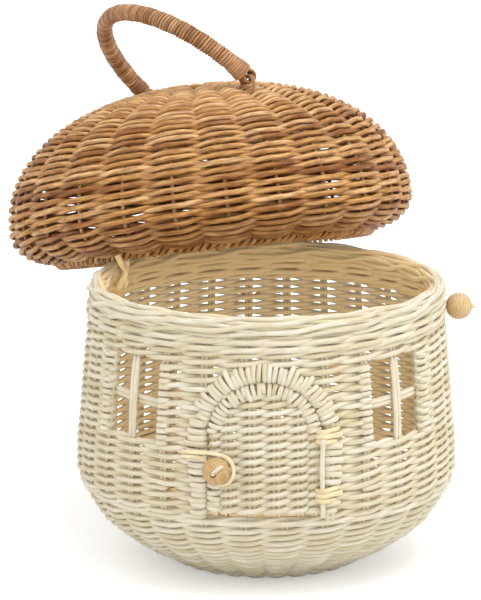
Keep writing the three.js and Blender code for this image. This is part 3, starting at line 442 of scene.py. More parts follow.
# The pot's rows, from the base to the upper band
wall = {"swing": 2.0, "cross": 1.38, "cane": 1.9, "turn": 3.0, "wobble": 0.18, "power": 2.3, "lean": 0.5,
        "front": 0.14, "pitch": 5.9, "start": 5.0, "top": 180.6, "waleRoom": 3.2, "doorRoom": 1,
        "archRoom": 4.9, "stakeShare": 0.38, "shortAtDoor": 3, "shortAtWindows": 5, "shortReach": 28,
        "spreadEnds": (22, 44), "dip": 3.0, "oddDip": 0.8, "dipReach": 6.5, "dipStart": 3, "dipEnd": 2}
foot = {"height": 60.3, "swing": 2.9, "cross": 1.7, "cane": 2.15}
firstStake = regularStake(0)
archReach = door["half"] + door["slit"] + wall["archRoom"]
rowsEnd = float(potProfile.atHeight(wall["top"]))
rowCount = round((rowsEnd - wall["start"]) / wall["pitch"])
rowPlaces = wall["start"] + (rowsEnd - wall["start"]) * np.arange(rowCount + 1) / rowCount
heights = [float(potProfile.at(s)[1]) for s in rowPlaces]
rowsFrom, rowsTo = window["sill"] - window["rowRoom"], windowTop + window["rowRoom"]
besideDoor = [row for row, height in enumerate(heights) if door["sill"] - wall["doorRoom"] < height < rowsFrom]
besideWindow = [row for row, height in enumerate(heights) if rowsFrom < height < rowsTo]


# One row of a zone ends early; the rest spread out over its place: how far each moves
def spreadRows(rows, dropped):
    wider = wall["pitch"] * len(rows) / (len(rows) - 1)
    return {row: (k - (row > dropped)) * wider - k * wall["pitch"] for k, row in enumerate(rows)}


doorShort, windowShort = besideDoor[wall["shortAtDoor"]], besideWindow[wall["shortAtWindows"]]
moves = {**spreadRows(besideDoor, doorShort), **spreadRows(besideWindow, windowShort)}


def archEdge(height):  # half the width, in degrees, that the doorway takes from a row
    rise = max(0.0, height - doorSpring)
    return degreesAt(math.sqrt(max(0.0, archReach ** 2 - rise ** 2)), height)


# Where the rows may not go: doorway and windows, as azimuths of their edge stakes
def openingsAt(height):
    openings = []
    if door["sill"] - wall["doorRoom"] < height < doorSpring + archReach:
        openings.append((pot["doorAzimuth"], archEdge(height)))
    if rowsFrom < height < rowsTo:
        edge = degreesAt(window["half"] + window["sideRoom"], height)
        openings += [(pot["doorAzimuth"] + side * window["spread"], edge) for side in (-1, 1)]
    return sorted((middle - edge, middle + edge) for middle, edge in openings)


# How far a row leaves its place: it takes its share of a short row's room, and dips beside the arch
def rowShift(azimuth, row, height, inFront):
    shift = moves.get(row, 0.0) if inFront else 0.0
    if row in besideDoor and row != doorShort:
        shift = moves[row] * (1 - smooth(*wall["spreadEnds"], degreesApart(azimuth, pot["doorAzimuth"])))
    if doorSpring + wall["dipStart"] < height < doorSpring + archReach:
        share = float(smooth(doorSpring + wall["dipStart"], doorTop + wall["dipEnd"], height))
        edges = [pot["doorAzimuth"] + side * archEdge(height) for side in (-1, 1)]
        near = sum(1 - smooth(0, wall["dipReach"], degreesApart(azimuth, edge)) for edge in edges)
        shift = shift - (wall["dip"] + wall["oddDip"] * (row % 2)) * share * near
    return shift


lowerRows, sideRows = CaneBundle(), CaneBundle()
for row, (s, height) in enumerate(zip(rowPlaces, heights)):
    if abs(height - foot["height"]) < wall["waleRoom"]:
        continue
    bundle = lowerRows if height < foot["height"] else sideRows
    openings = openingsAt(height)
    if not openings:
        twinedRing(bundle, potProfile, s, pot["stakes"], firstStake, wall)
        continue
    room = stakeStep * wall["stakeShare"]
    for (_, start), (stop, _) in zip(openings, openings[1:] + [(openings[0][0] + 360, 0)]):
        between = [regularStake(k) for k in range(-40, 41) if start + room < regularStake(k) < stop - room]
        inFront = row in besideWindow and abs((start + stop) / 2 - pot["doorAzimuth"]) < window["spread"]
        if row == windowShort and inFront:
            continue
        stakes = [start] + between + [stop]
        if row == doorShort:
            stakes = [a for a in between if degreesApart(a, pot["doorAzimuth"]) > wall["shortReach"]]
        twinedRun(bundle, potProfile, s, stakes, wall, parity=(row + len(openings)) % 2,
                  lift=lambda azimuth: rowShift(azimuth, row, height, inFront))
lowerRows.build("pot_lower_rows", peeledCane, "pot", "lower_wall")
sideRows.build("pot_side_rows", peeledCane, "pot", "side_wall",
               ["side_wall", "door_frame_binding", "left_window_frame", "right_window_frame"])

# Upright stakes, two canes side by side; the ones beside a window lean to its jambs
stake = {"wide": 1.5, "deep": 1.15, "apart": 1.5, "start": 0.5, "top": 197, "step": 5,
         "doorReach": 12, "windowReach": 4, "jambReach": 3, "belowDoor": 2, "aboveDoor": 3, "pastWindow": 1,
         "leanFrom": (95, 112), "leanTo": (170, 186)}
stakesTop = float(potProfile.atHeight(stake["top"]))


def stakeSpans(offset):
    gap = None
    if abs(offset) < stake["doorReach"]:
        gap = (door["sill"] - stake["belowDoor"], doorTop + stake["aboveDoor"])
    if abs(abs(offset) - window["spread"]) < stake["windowReach"]:
        gap = (window["sill"] - stake["pastWindow"], windowTop + stake["pastWindow"])
    if gap is None:
        return [(stake["start"], stakesTop)]
    below, above = (float(potProfile.atHeight(height)) for height in gap)
    return [(stake["start"], below), (above, stakesTop)]


stakeCanes = CaneBundle()
# the inward half of each stake takes painted shade
stakeShadeShare = 0.05 + 0.65 * np.clip(np.sin(onceRound(8)), 0, 1)
for k in range(pot["stakes"]):
    azimuth = (regularStake(k) + 180) % 360 - 180
    offset = azimuth - pot["doorAzimuth"]
    isJamb = abs(abs(abs(offset) - window["spread"]) - stakeStep) < stake["jambReach"]
    for low, high in stakeSpans(offset):
        s = np.linspace(low, high, max(4, int((high - low) / stake["step"])))
        r, height = potProfile.at(s)[:2]
        drift = 0.0
        if isJamb:
            away = math.copysign(1, abs(offset) - window["spread"]) * math.copysign(1, offset)
            inset = stakeStep - degreesAt(window["half"] + window["sideRoom"],
                                          window["sill"] + window["height"] / 2)
            drift = -away * inset * smooth(*stake["leanFrom"], height) * (1 - smooth(*stake["leanTo"], height))
        for side in (-1, 1):
            points, normals = onWall(potProfile, azimuth + drift + np.degrees(side * stake["apart"] / r), s)
            stakeCanes.add(points, normals, stake["wide"], stake["deep"], taper=True, inner=stakeShadeShare[None])
stakeCanes.build("pot_stakes", peeledCane, "pot", "side_wall", ())

# Foot wale: one row of three thick canes, each over two stakes and behind the third
footWale = CaneBundle()
twinedRing(footWale, potProfile, float(potProfile.atHeight(foot["height"])), pot["stakes"], firstStake, foot,
           strands=3, steps=7)
footWale.build("pot_foot_wale", peeledCane, "pot", "foot_wale")

# Upper band: two rows of the same under the border, the second one stake further on
# its warm of 1.4 gives the inward faces more painted shade
band = {"heights": (184.2, 189.6), "zero": 184, "pitch": 5.4, "swing": 3.0, "cross": 1.9, "cane": 2.2,
        "warm": 1.4}
upperBand = CaneBundle()
for height in band["heights"]:
    first = firstStake + stakeStep * (height - band["zero"]) / band["pitch"]
    twinedRing(upperBand, potProfile, float(potProfile.atHeight(height)),
               pot["stakes"], first, band, strands=3, steps=7)
upperBand.build("pot_upper_band", peeledCane, "pot", "upper_wale")

# The pot's border: pairs of long canes side by side round the ring, the canes of a pair crossing slowly
rim = {"ring": 124.0, "height": 199.2, "thick": 4.5, "tall": 6.4, "cane": 2.0, "core": (3.9, 5.9),
       "steps": 180, "slant": 25, "swap": 1.0, "levels": (-100, -45, 8, 60, 112, 178),
       "waves": (7, 8, 7, 8, 7, 8), "tieAzimuth": 154.5, "tieReach": 5.5, "room": 2.2}
rimBorder = CaneBundle()
around = onceRound(rim["steps"])
back = np.clip(np.sin(around) * 1.8, 0, 1)  # behind, under the lid, the canes take the warm inside colour on top as well: painted shade
nearTie = np.exp(-((np.degrees(around) - rim["tieAzimuth"]) / rim["tieReach"]) ** 2)
for level, waves in zip(rim["levels"], rim["waves"]):
    begin = luck.uniform(0, 2 * np.pi)
    for strand in (0, 1):
        waver = sum(luck.normal(0, 0.035) * np.sin(around * m + luck.uniform(0, 6.28)) for m in (3, 5, 13))
        phase = waves * around + begin + math.pi * strand + 0.35 * np.sin(3 * around + begin)
        theta = math.radians(level) + math.radians(rim["slant"]) * flatTop(np.sin(phase)) + waver
        lift = rim["swap"] * np.cos(phase) + 0.2 * np.sin(around * 5 + begin)
        aside = rim["room"] * nearTie * np.clip(0.3 - np.cos(theta), 0, 1)  # inner canes make room for the tie
        points = polar(rim["ring"] + (rim["thick"] + lift) * np.cos(theta) + aside, around,
                       rim["height"] + (rim["tall"] + lift) * np.sin(theta))
        refs = polar(rim["tall"] * np.cos(theta), around, rim["thick"] * np.sin(theta))
        # the inward faces, and at the back the tops too, take painted shade
        rimBorder.add(points, refs, rim["cane"] * (1 + luck.normal(0, 0.04)), loop=True,
                      tone=caneTone(around * rim["ring"]),
                      inner=np.clip(back * 0.8 - np.cos(theta), 0, 1) * (0.85 + 0.15 * back))
# the core takes painted shade, most at the back under the lid
rimBorder.add(polar(rim["ring"], around, rim["height"]), (0, 0, 1), *rim["core"], sides=12, loop=True,
              inner=0.1 + 0.8 * back)
rimBorder.build("pot_rim_border", peeledCane, "pot", "rim_border")

# Base: rows round and round over radial stakes, half as many of them near the middle
base = {"section": ((4, 0.3), (20, 0.2), (45, 0.1), (70, 0)), "thickness": 8.2, "rows": (11, 70),
        "pitch": 5.3, "swing": 1.9, "cross": 1.2, "cane": 1.75, "fewStakes": 30, "stakeCane": 1.7,
        "stakeHeight": 4.2, "stakeStarts": (2.0, 30.0), "stakeEnd": 69}
baseCanes = CaneBundle()
baseProfile = Profile(base["section"], base["thickness"] / 2)
for radius in np.arange(*base["rows"], base["pitch"]):
    count, steps = (pot["stakes"], 8) if radius > base["fewStakes"] else (pot["stakes"] // 2, 14)
    twinedRing(baseCanes, baseProfile, float(radius - base["section"][0][0]),
               count, firstStake, base, steps=steps, sides=7)
for k in range(pot["stakes"]):
    r = np.linspace(base["stakeStarts"][k % 2], base["stakeEnd"], 12)
    points = polar(r, math.radians(regularStake(k)), base["stakeHeight"])
    # the stakes under the rows take some painted shade
    baseCanes.add(points, (0, 0, 1), base["stakeCane"], sides=7, inner=0.3)
baseCanes.build("pot_base", peeledCane, "pot", "base_disc")
print("pot woven")


# Doorway, door and hinge

# A point of the wall from a flat front view: x along the wall from the middle azimuth, z up
def frontPoint(x, z, out=0.0, middle=pot["doorAzimuth"]):
    r, height, nr, nz, _, _ = potProfile.at(potProfile.atHeight(np.asarray(z, float)))
    a = np.arcsin(np.clip(np.asarray(x, float) / r, -0.99, 0.99)) + math.radians(middle)
    return polar(r + out * nr, a, height + out * nz), polar(nr, a, nz)


# The arch of the door moved outwards by grow, as x and z from the right foot over the top to the left one
def archPath(grow, fromZ, count=12):
    half = door["half"] + grow
    straight = np.linspace(fromZ, doorSpring, count)[:-1]
    angle = np.linspace(0, math.pi, count * 2)
    x = np.concatenate([np.full(count - 1, half), half * np.cos(angle), np.full(count - 1, -half)])
    z = np.concatenate([straight, doorSpring + half * np.sin(angle), straight[::-1]])
    return x, z


# Canes wrapped across an arched edge, each a small closed loop; a jamb is its side, bottom, top and pitch
def archWraps(bundle, look):
    middle = door["half"] + look["grow"]
    first = math.radians(look["from"])
    count = round((math.pi - 2 * first) * middle / look["pitch"])
    marks = [(first + (math.pi - 2 * first) * k / count, 0, look["pitch"]) for k in range(count + 1)]
    for side, bottom, top, pitch in look["jambs"]:
        marks += [(side, drop, pitch) for drop in np.arange(doorSpring - top, doorSpring - bottom, pitch)]
    t = onceRound(look["steps"])
    for angle, drop, pitch in marks:
        angle += luck.normal(0, 0.009)
        drop += luck.normal(0, 0.15)
        length = look["length"] * (1 + luck.normal(0, look["uneven"]))
        along = squared(np.cos(t), 0.6) * length / 2
        out = squared(np.sin(t), 0.75) * look["thick"]
        lean = look["lean"] * np.sin(t) + luck.normal(0, 0.2) + along / length * luck.normal(0, 0.8)
        reach = middle + along + look["outer"] * (length - look["length"]) / 2
        x = reach * math.cos(angle) - lean * math.sin(angle)
        z = doorSpring - drop + reach * math.sin(angle) + lean * math.cos(angle)
        points, _ = frontPoint(x, z, out + look["lift"])
        centre, _ = frontPoint(middle * math.cos(angle), doorSpring - drop + middle * math.sin(angle),
                               look["lift"])
        wide = look["cane"] * (pitch / look["pitch"]) ** 0.6 * (1 + luck.normal(0, 0.04))
        bundle.add(points, points - centre, wide, look["cane"] * 0.85, sides=7, loop=True, tone=wrapTone())


# Doorway frame: two canes along the arch, wrapped; the wraps stand unevenly beside the ties and the loop
frameEdge = {"grow": 4.5, "apart": 1.8, "below": 6, "cane": (1.85, 1.6), "out": (2.6, 0.6)}
frameWraps = {"grow": door["slit"] + 5.4, "pitch": 3.65, "length": 10.4, "thick": 3.9, "lift": 0.8,
              "cane": 2.0, "lean": 0.4, "steps": 18, "from": 14, "uneven": 0.13, "outer": 1,
              "jambs": [(math.pi, door["sill"] + 1, 92, 3.8), (math.pi, 93, doorSpring + 9, 4.9),
                        (0, door["sill"] + 1, 74, 4.6), (0, 87, 115, 5.2)]}
frameCanes = CaneBundle()
for side in (-1, 1):
    x, z = archPath(door["slit"] + frameEdge["grow"] + side * frameEdge["apart"],
                    door["sill"] - frameEdge["below"])
    points, normals = frontPoint(x, z, np.where(x > 0, *frameEdge["out"]))
    # the frame canes take a little painted shade
    frameCanes.add(points, normals, *frameEdge["cane"], inner=0.1)
archWraps(frameCanes, frameWraps)
frameCanes.build("doorway_wraps", peeledCane, "pot", "door_frame_binding", ())

# The door: short rows over four pairs of upright canes, two canes along its edge, and its wraps
# the door's warm of 0.5 gives its rows less painted shade
panel = {"swing": 2.35, "cross": 1.4, "cane": 2.1, "power": 2.6, "turn": 2.5, "warm": 0.5,
         "rowsFrom": 1.5, "rowsTo": 5.5, "sideRoom": 4.4, "archRoom": 4.6, "stakes": (-25.5, -8.6, 8.6, 25.5),
         "stakeRoom": 6, "stakeApart": 1.6, "stakeCane": (1.55, 1.1), "stakeTop": 4, "bottom": 0.6,
         "edgeApart": 1.2, "edgeCane": (1.5, 1.3), "rise": 3.2, "riseEnds": (2, 16), "riseFrom": 4}
doorWraps = {"grow": -4.1, "pitch": 3.6, "length": 7.8, "thick": 3.5, "lift": 0.3, "cane": 1.8, "lean": 0.4,
             "steps": 16, "from": 8, "uneven": 0.16, "outer": -1,
             "jambs": [(math.pi, door["sill"] + 3, 91, 4.1)]}
doorCanes = CaneBundle()
for s, height in zip(rowPlaces, heights):
    if not door["sill"] + panel["rowsFrom"] < height < doorTop - panel["rowsTo"]:
        continue
    rise = max(0.0, height - doorSpring)
    reach = door["half"] - panel["sideRoom"]
    if rise:
        reach = math.sqrt(max(1.0, (door["half"] - panel["archRoom"]) ** 2 - rise ** 2))
    r = float(potProfile.at(s)[0])
    between = [x for x in panel["stakes"] if abs(x) < reach - panel["stakeRoom"]]
    stakes = [pot["doorAzimuth"] + math.degrees(math.asin(x / r)) for x in [-reach] + between + [reach]]
    slope = smooth(doorSpring - panel["riseFrom"], doorTop, height) * panel["rise"]
    twinedRun(doorCanes, potProfile, s, stakes, panel, steps=9,
              lift=lambda azimuth: slope * smooth(*panel["riseEnds"], azimuth - pot["doorAzimuth"]))
for x in panel["stakes"]:
    top = doorSpring + math.sqrt((door["half"] - panel["stakeTop"]) ** 2 - x * x)
    z = np.linspace(door["sill"] + panel["bottom"], top, 24)
    for side in (-1, 1):
        points, normals = frontPoint(np.full(24, x + side * panel["stakeApart"]), z)
        # the door's stakes, behind its rows, take painted shade
        doorCanes.add(points, normals, *panel["stakeCane"], taper=True, inner=0.3)
for side in (-1, 1):
    x, z = archPath(-panel["sideRoom"] + side * panel["edgeApart"], door["sill"] + panel["bottom"])
    points, normals = frontPoint(x, z)
    # the edge canes take a little painted shade
    doorCanes.add(points, normals, *panel["edgeCane"], inner=0.2)
archWraps(doorCanes, doorWraps)
doorCanes.build("door_canes", peeledCane, "door", "door_panel", ["door_panel", "door_binding"])

# The upright cane that the door turns on, and its two ties of three flat bands each
hinge = {"x": 39.85, "y": -136.7, "cane": 1.75, "bottom": 65.0, "top": 121.9, "bend": 0.35,
         "ties": {"lower": 80.9, "upper": 122.6}, "thick": 0.6, "inset": 4.6, "behind": 4.9, "front": 5.2,
         "over": 4.4, "bands": ((-4.1, 7.6, 1.9, 0.35), (0.1, 9.4, 2.1, 0.6),  # rise, reach, width, tone
                                 (4.0, 8.3, 1.8, 0.5))}
hingeCane = CaneBundle()
z = np.linspace(hinge["bottom"], hinge["top"], 16)
points = np.stack([hinge["x"] + hinge["bend"] * np.sin(z / 9.0), np.full(16, hinge["y"]), z], 1)
hingeCane.add(points, (0, -1, 0), hinge["cane"], sides=10)
hingeCane.build("door_hinge_strand", peeledCane, "door", "door_hinge_cane")

for word, middle in hinge["ties"].items():
    bands = CaneBundle()
    t = onceRound(36)
    for k, (rise, reach, wide, tone) in enumerate(hinge["bands"]):
        centreX = hinge["x"] + reach - hinge["inset"]
        x = centreX + squared(np.cos(t), 0.5) * reach
        front = hinge["front"] + hinge["over"] * np.exp(-((x - hinge["x"]) / 4.5) ** 2)  # over the upright
        out = np.where(np.sin(t) > 0, front, hinge["behind"]) * squared(np.sin(t), 0.6)
        z = middle + rise + 0.05 * (x - hinge["x"]) * (k - 1) + 0.3 * np.sin(t + k)
        points, _ = frontPoint(x, z, out)
        centre, _ = frontPoint(centreX, middle + rise, 1.5)
        bands.add(points, points - centre, wide, hinge["thick"], loop=True, tone=tone)
    bands.build("door_hinge_bands_" + word, skinCane, "pot", "door_hinge_tie_" + word)
print("door hung")

# Windows: an upright and a crossbar of two canes each, and wound jambs, the outer one a little further off
bars = {"cane": 1.85, "apart": 1.6, "past": 5, "crossPast": 4, "out": 0.3, "bow": 1.1, "crossOut": -2.2,
        "slope": 0.05}
wraps = {"pitch": 4.5, "below": 1.5, "above": 2, "outer": 7.4, "inner": 5.6, "reach": 3.7, "thick": 4.0,
         "cane": 1.95, "deep": 1.6}
for side, word in ((-1, "left"), (1, "right")):
    azimuth = pot["doorAzimuth"] + side * window["spread"]
    upright, crossbar, jambs = CaneBundle(), CaneBundle(), CaneBundle()
    for offset in (-bars["apart"], bars["apart"]):
        z = np.linspace(window["sill"] - bars["past"], windowTop + bars["past"], 14)
        bow = bars["out"] + bars["bow"] * np.sin(np.linspace(0, math.pi, 14))
        points, normals = frontPoint(np.full(14, offset), z, bow, azimuth)
        upright.add(points, normals, bars["cane"], sides=9, taper=True)
        x = np.linspace(-window["half"] - bars["crossPast"], window["half"] + bars["crossPast"], 16)
        level = window["sill"] + window["height"] / 2 + offset + x * bars["slope"] * side
        points, normals = frontPoint(x, level, bars["crossOut"], azimuth)
        crossbar.add(points, normals, bars["cane"], sides=9, taper=True)
    t = onceRound(16)
    for edge in (-1, 1):
        jamb = window["half"] + (wraps["outer"] if edge == side else wraps["inner"])
        for rise in np.arange(-wraps["below"], window["height"] + wraps["above"], wraps["pitch"]):
            height = window["sill"] + rise + luck.normal(0, 0.25)
            away = degreesAt(jamb, height) * edge
            reach = np.degrees(wraps["reach"] * squared(np.cos(t), 0.6) / potRadius(height))
            s = potProfile.atHeight(height)
            out = wraps["thick"] * squared(np.sin(t), 0.7)
            points, _ = onWall(potProfile, azimuth + (away + reach),
                               s + 0.5 * np.sin(t) + 0.3 * np.cos(t), out)
            centre, _ = onWall(potProfile, azimuth + away, s)
            # where a wrap goes into the wall it takes painted shade
            jambs.add(points, points - centre, wraps["cane"] * (1 + luck.normal(0, 0.05)),
                      wraps["deep"], sides=7, loop=True, tone=wrapTone(), inner=np.clip(-out / 6, 0, 1))
    jambs.build(word + "_window_wraps", peeledCane, "pot", word + "_window_frame", ())
    upright.build(word + "_window_upright", peeledCane, "pot", word + "_window_mullion")
    crossbar.build(word + "_window_crossbar", peeledCane, "pot", word + "_window_transom")
print("windows barred")

# Beads, each a turned ball with a drilled hole
bead = {"radius": 9.8, "hole": 2.3, "gap": 0.3, "doorAzimuth": -103.7, "doorHeight": 101.0,
        "lidAzimuth": -0.5, "lidHeight": 187.0, "lidSink": 0.1, "pegCane": 1.9, "pegThick": 1.5}
doorBeadLook = {"shift": (0.04, 0.15, -0.1), "lean": (0.5, 0.3, 0), "rings": 260.0,
                "late": "#b08c54", "early": "#c0a675"}
lidBeadLook = {"shift": (-0.14, 0.0, -0.19), "lean": (0.2, 0.7, 0.3), "rings": 240.0,
               "late": "#bf9d6a", "early": "#d0b88c"}
doorBeadRadius = potRadius(bead["doorHeight"]) + bead["radius"] + bead["gap"]
lidBeadRadius = potRadius(bead["lidHeight"]) - bead["lidSink"] + bead["radius"]


def woodenBead(name, azimuth, height, centreRadius, body, slot, look):
    bpy.ops.object.select_all(action="DESELECT")
    bpy.ops.mesh.primitive_uv_sphere_add(segments=48, ring_count=32, radius=bead["radius"] * mm,
                                         location=(0, 0, 0))
    piece = bpy.context.object
    piece.name = name
    bpy.ops.mesh.primitive_cylinder_add(vertices=32, radius=bead["hole"] * mm, depth=0.04, location=(0, 0, 0))
    drill = bpy.context.object
    cut = piece.modifiers.new("hole", "BOOLEAN")
    cut.operation = "DIFFERENCE"
    cut.object = drill
    cut.solver = "EXACT"
    bpy.context.view_layer.objects.active = piece
    bpy.ops.object.modifier_apply(modifier="hole")
    bpy.data.objects.remove(drill)
    a = math.radians(azimuth)
    outward = Vector((math.cos(a), math.sin(a), 0))
    along = Vector((-math.sin(a), math.cos(a), 0))
    turn = Matrix((along, Vector((0, 0, 1)), outward)).transposed().to_4x4()
    piece.data.transform(Matrix.Translation(outward * centreRadius * mm + Vector((0, 0, height * mm))) @ turn)
    piece.data.shade_smooth()
    piece.data.set_sharp_from_angle(angle=math.radians(40))
    piece.data.materials.clear()
    finishPiece(piece, beechMaterial(slot + "_waxed_beech", look), body, slot)


woodenBead("door_bead_turned", bead["doorAzimuth"], bead["doorHeight"], doorBeadRadius,
           "door", "door_bead", doorBeadLook)
woodenBead("lid_bead_turned", bead["lidAzimuth"], bead["lidHeight"], lidBeadRadius,
           "pot", "lid_bead", lidBeadLook)


# Points beside a bead: along the wall, up, and out from radius
def atBead(azimuth, height, route, radius=None):
    along, rise, out = np.array(route, float).T
    radii = np.array([potRadius(height + up) for up in rise]) if radius is None else radius
    return polar(radii + out, math.radians(azimuth) + along / pot["radius"], height + rise)


# A smooth curve through a few points
def curveThrough(points, count, loop=False):
    points = np.asarray(points, float)
    if loop:
        padded = np.concatenate([points[-1:], points, points[:2]])
        spans = len(points)
    else:
        padded = np.concatenate([2 * points[:1] - points[1:2], points, 2 * points[-1:] - points[-2:-1]])
        spans = len(points) - 1
    u = np.linspace(0, spans, count, endpoint=not loop)
    i = np.minimum(u.astype(int), spans - 1)
    t = (u - i)[:, None]
    p0, p1, p2, p3 = padded[i], padded[i + 1], padded[i + 2], padded[i + 3]
    return 0.5 * (2 * p1 + (p2 - p0) * t + (2 * p0 - 5 * p1 + 4 * p2 - p3) * t ** 2
                  + (3 * p1 - p0 - 3 * p2 + p3) * t ** 3)


# The door's bead peg: a cane through the bead, bent over its front
across = bead["radius"] * 2
doorPeg = CaneBundle()
pegRoute = [(0, 0, -4.5), (0, 0, 2), (0, 0, across - 2), (0.8, 1.6, across + 2.2), (3.2, 4.4, across + 1.8),
            (5.6, 6.0, bead["radius"] * 1.7)]
points = curveThrough(atBead(bead["doorAzimuth"], bead["doorHeight"], pegRoute), 26)
doorPeg.add(points, (0, 0, 1), bead["pegCane"], bead["pegThick"], sides=9, taper=True)
doorPeg.build("door_bead_cane", peeledCane, "door", "door_bead_peg")

# The lid's bead peg: a straight one
lidPeg = CaneBundle()
pegRoute = [(0, 0, -8), (0, 0, 4), (0, 0, across - 1), (0.4, 0.2, across + 1.2)]
points = curveThrough(atBead(bead["lidAzimuth"], bead["lidHeight"], pegRoute,
                             potRadius(bead["lidHeight"])), 16)
lidPeg.add(points, (0, 0, 1), bead["pegCane"], sides=9, taper=True)
lidPeg.build("lid_bead_cane", peeledCane, "pot", "lid_bead_peg")

# The loop over the door's bead: out of the wall at the left, round the front of the bead and back behind it
overBead = {"cane": 1.5, "thick": 0.55, "gap": 1.7, "low": 3.5, "highShare": 0.86, "anchorShare": 2.72}
doorLoop = CaneBundle()
hoop = bead["radius"] + overBead["gap"]
low, high = overBead["low"], bead["radius"] * overBead["highShare"]
anchor = bead["radius"] * overBead["anchorShare"]
loopRoute = [(-anchor - 1, hoop * 0.86, -3), (-anchor, hoop * 0.88, low * 0.9),
             (-hoop * 1.35, hoop * 0.94, low * 1.2), (-hoop * 0.3, hoop * 1.02, high * 0.9),
             (hoop * 0.7, hoop * 0.78, high), (hoop * 1.02, 0, high), (hoop * 0.74, -hoop * 0.7, high * 0.9),
             (0, -hoop * 0.98, low * 1.2), (-hoop * 0.6, -hoop * 0.35, low * 0.72),
             (-hoop * 0.74, hoop * 0.3, low * 0.75), (-hoop * 1.3, hoop * 0.6, low),
             (-anchor, hoop * 0.6, low * 0.9), (-anchor - 1, hoop * 0.58, -3)]
points = curveThrough(atBead(bead["doorAzimuth"], bead["doorHeight"], loopRoute), 64)
centre = atBead(bead["doorAzimuth"], bead["doorHeight"], [(0, 0, high)])[0]
doorLoop.add(points, unit(points * (1, 1, 0)) + unit(points - centre) * 0.5, overBead["cane"],
             overBead["thick"], taper=True, tone=0.6)
doorLoop.build("door_loop_cane", skinCane, "pot", "door_loop")
print("beads and loop done")


# The lid, modelled shut and level in its own frame, then turned open about its tie

lid = {"radius": 152.6, "dome": 97.2, "power": 2.217, "lip": 117.3, "skirt": 24.5, "thickness": 6.0,
       "stakes": 24, "middle": 238.2, "tieReach": 117.65, "tieAzimuth": 154.5, "tieHeight": 210.9,
       "tieLean": (-0.1906, 0.0494), "open": 82.3}
tiePivot = Vector(polar(lid["tieReach"], math.radians(lid["tieAzimuth"]), lid["tieHeight"]))
tieAxis = Vector((*lid["tieLean"], math.sqrt(1 - lid["tieLean"][0] ** 2 - lid["tieLean"][1] ** 2)))
swungOpen = (Matrix.Translation(tiePivot) @ Matrix.Rotation(math.radians(lid["open"]), 4, tieAxis)
             @ Matrix.Translation(-tiePivot))
lidPlace = swungOpen @ Matrix.Translation((0, 0, lid["middle"]))
skirtTurn = np.linspace(math.pi / 2, 0, 24)
domeTurn = np.linspace(0, math.pi / 2, 90)[1:]
skirtPart = np.stack([lid["lip"] + (lid["radius"] - lid["lip"]) * np.cos(skirtTurn),
                      -lid["skirt"] * np.sin(skirtTurn)], 1)
domePart = np.stack([lid["radius"] * np.cos(domeTurn).clip(0) ** (2 / lid["power"]),
                     lid["dome"] * np.sin(domeTurn) ** (2 / lid["power"])], 1)
lidProfile = Profile(np.concatenate([skirtPart, domePart]), lid["thickness"] / 2)
lidLength = float(lidProfile.s[-1])
equator = float(np.interp(0, lidProfile.z, lidProfile.s))

# Rows of the lid from the lip to the crown: closer, calmer and paler towards the top, over fewer stakes there;
# the paler top is painted light, the darker skirt under the equator painted shade
dome = {"swing": 3.1, "cross": 1.6, "cane": 1.94, "wobble": 0.26, "power": 2.2, "lean": 0.45,
        "start": 6.0, "end": 4.5, "pitch": 5.9, "topPitch": 6.1, "closer": 0.45, "tilt": 3.5,
        "tiltAzimuth": 97.7, "topSwing": 0.5, "paintedTopLight": 0.38, "shade": 0.42, "lowCane": 0.13,
        "skirtTop": 3, "crown": 46, "middle": 16, "middleSwings": (2.4, 1.7), "eye": 8,
        "topRows": ((12, 7.5, 14), (6, 22.5, 16))}  # stakes, first azimuth and steps: crown, middle


def pastEquator(start, end, s):
    return float(smooth(equator + start, equator + end, s))


def risingTo(start, beforeTop, s):
    return float(smooth(equator + start, lidLength - beforeTop, s))


domeRows, skirtRows, crownRows = CaneBundle(), CaneBundle(), CaneBundle()
s = dome["start"]
while s < lidLength - dome["end"]:
    r = float(lidProfile.at(s)[0])
    look = dict(dome, swing=dome["swing"] + dome["topSwing"] * risingTo(40, 60, s),
                paintedTopLight=dome["paintedTopLight"] * risingTo(35, 55, s), shade=0)
    if r > dome["crown"]:
        level = dome["tilt"] * (pastEquator(-30, 30, s) * (1 - risingTo(40, 60, s)))
        # the skirt, facing down, takes extra painted shade
        look["shade"] = dome["shade"] * (1 - pastEquator(-14, 6, s))
        look["cane"] = dome["cane"] + dome["lowCane"] * (1 - pastEquator(25, 60, s))
        bundle = skirtRows if s < equator - dome["skirtTop"] else domeRows
        twinedRing(bundle, lidProfile, s, lid["stakes"], 0, look, steps=9, sides=7,
                   lift=lambda azimuth: level * np.cos(np.radians(azimuth - dome["tiltAzimuth"])))
    else:
        inMiddle = r <= dome["middle"]
        if inMiddle:
            look["swing"] = dome["middleSwings"][r <= dome["eye"]]
        count, first, steps = dome["topRows"][inMiddle]
        twinedRing(crownRows, lidProfile, s, count, first, look, steps=steps)
    s += dome["pitch"] if s < equator + 45 else dome["topPitch"] - dome["closer"] * risingTo(60, 40, s)
domeRows.build("lid_dome_rows", honeyCane, "lid", "lid_dome", place=lidPlace)
skirtRows.build("lid_skirt_rows", honeyCane, "lid", "lid_underside", place=lidPlace)

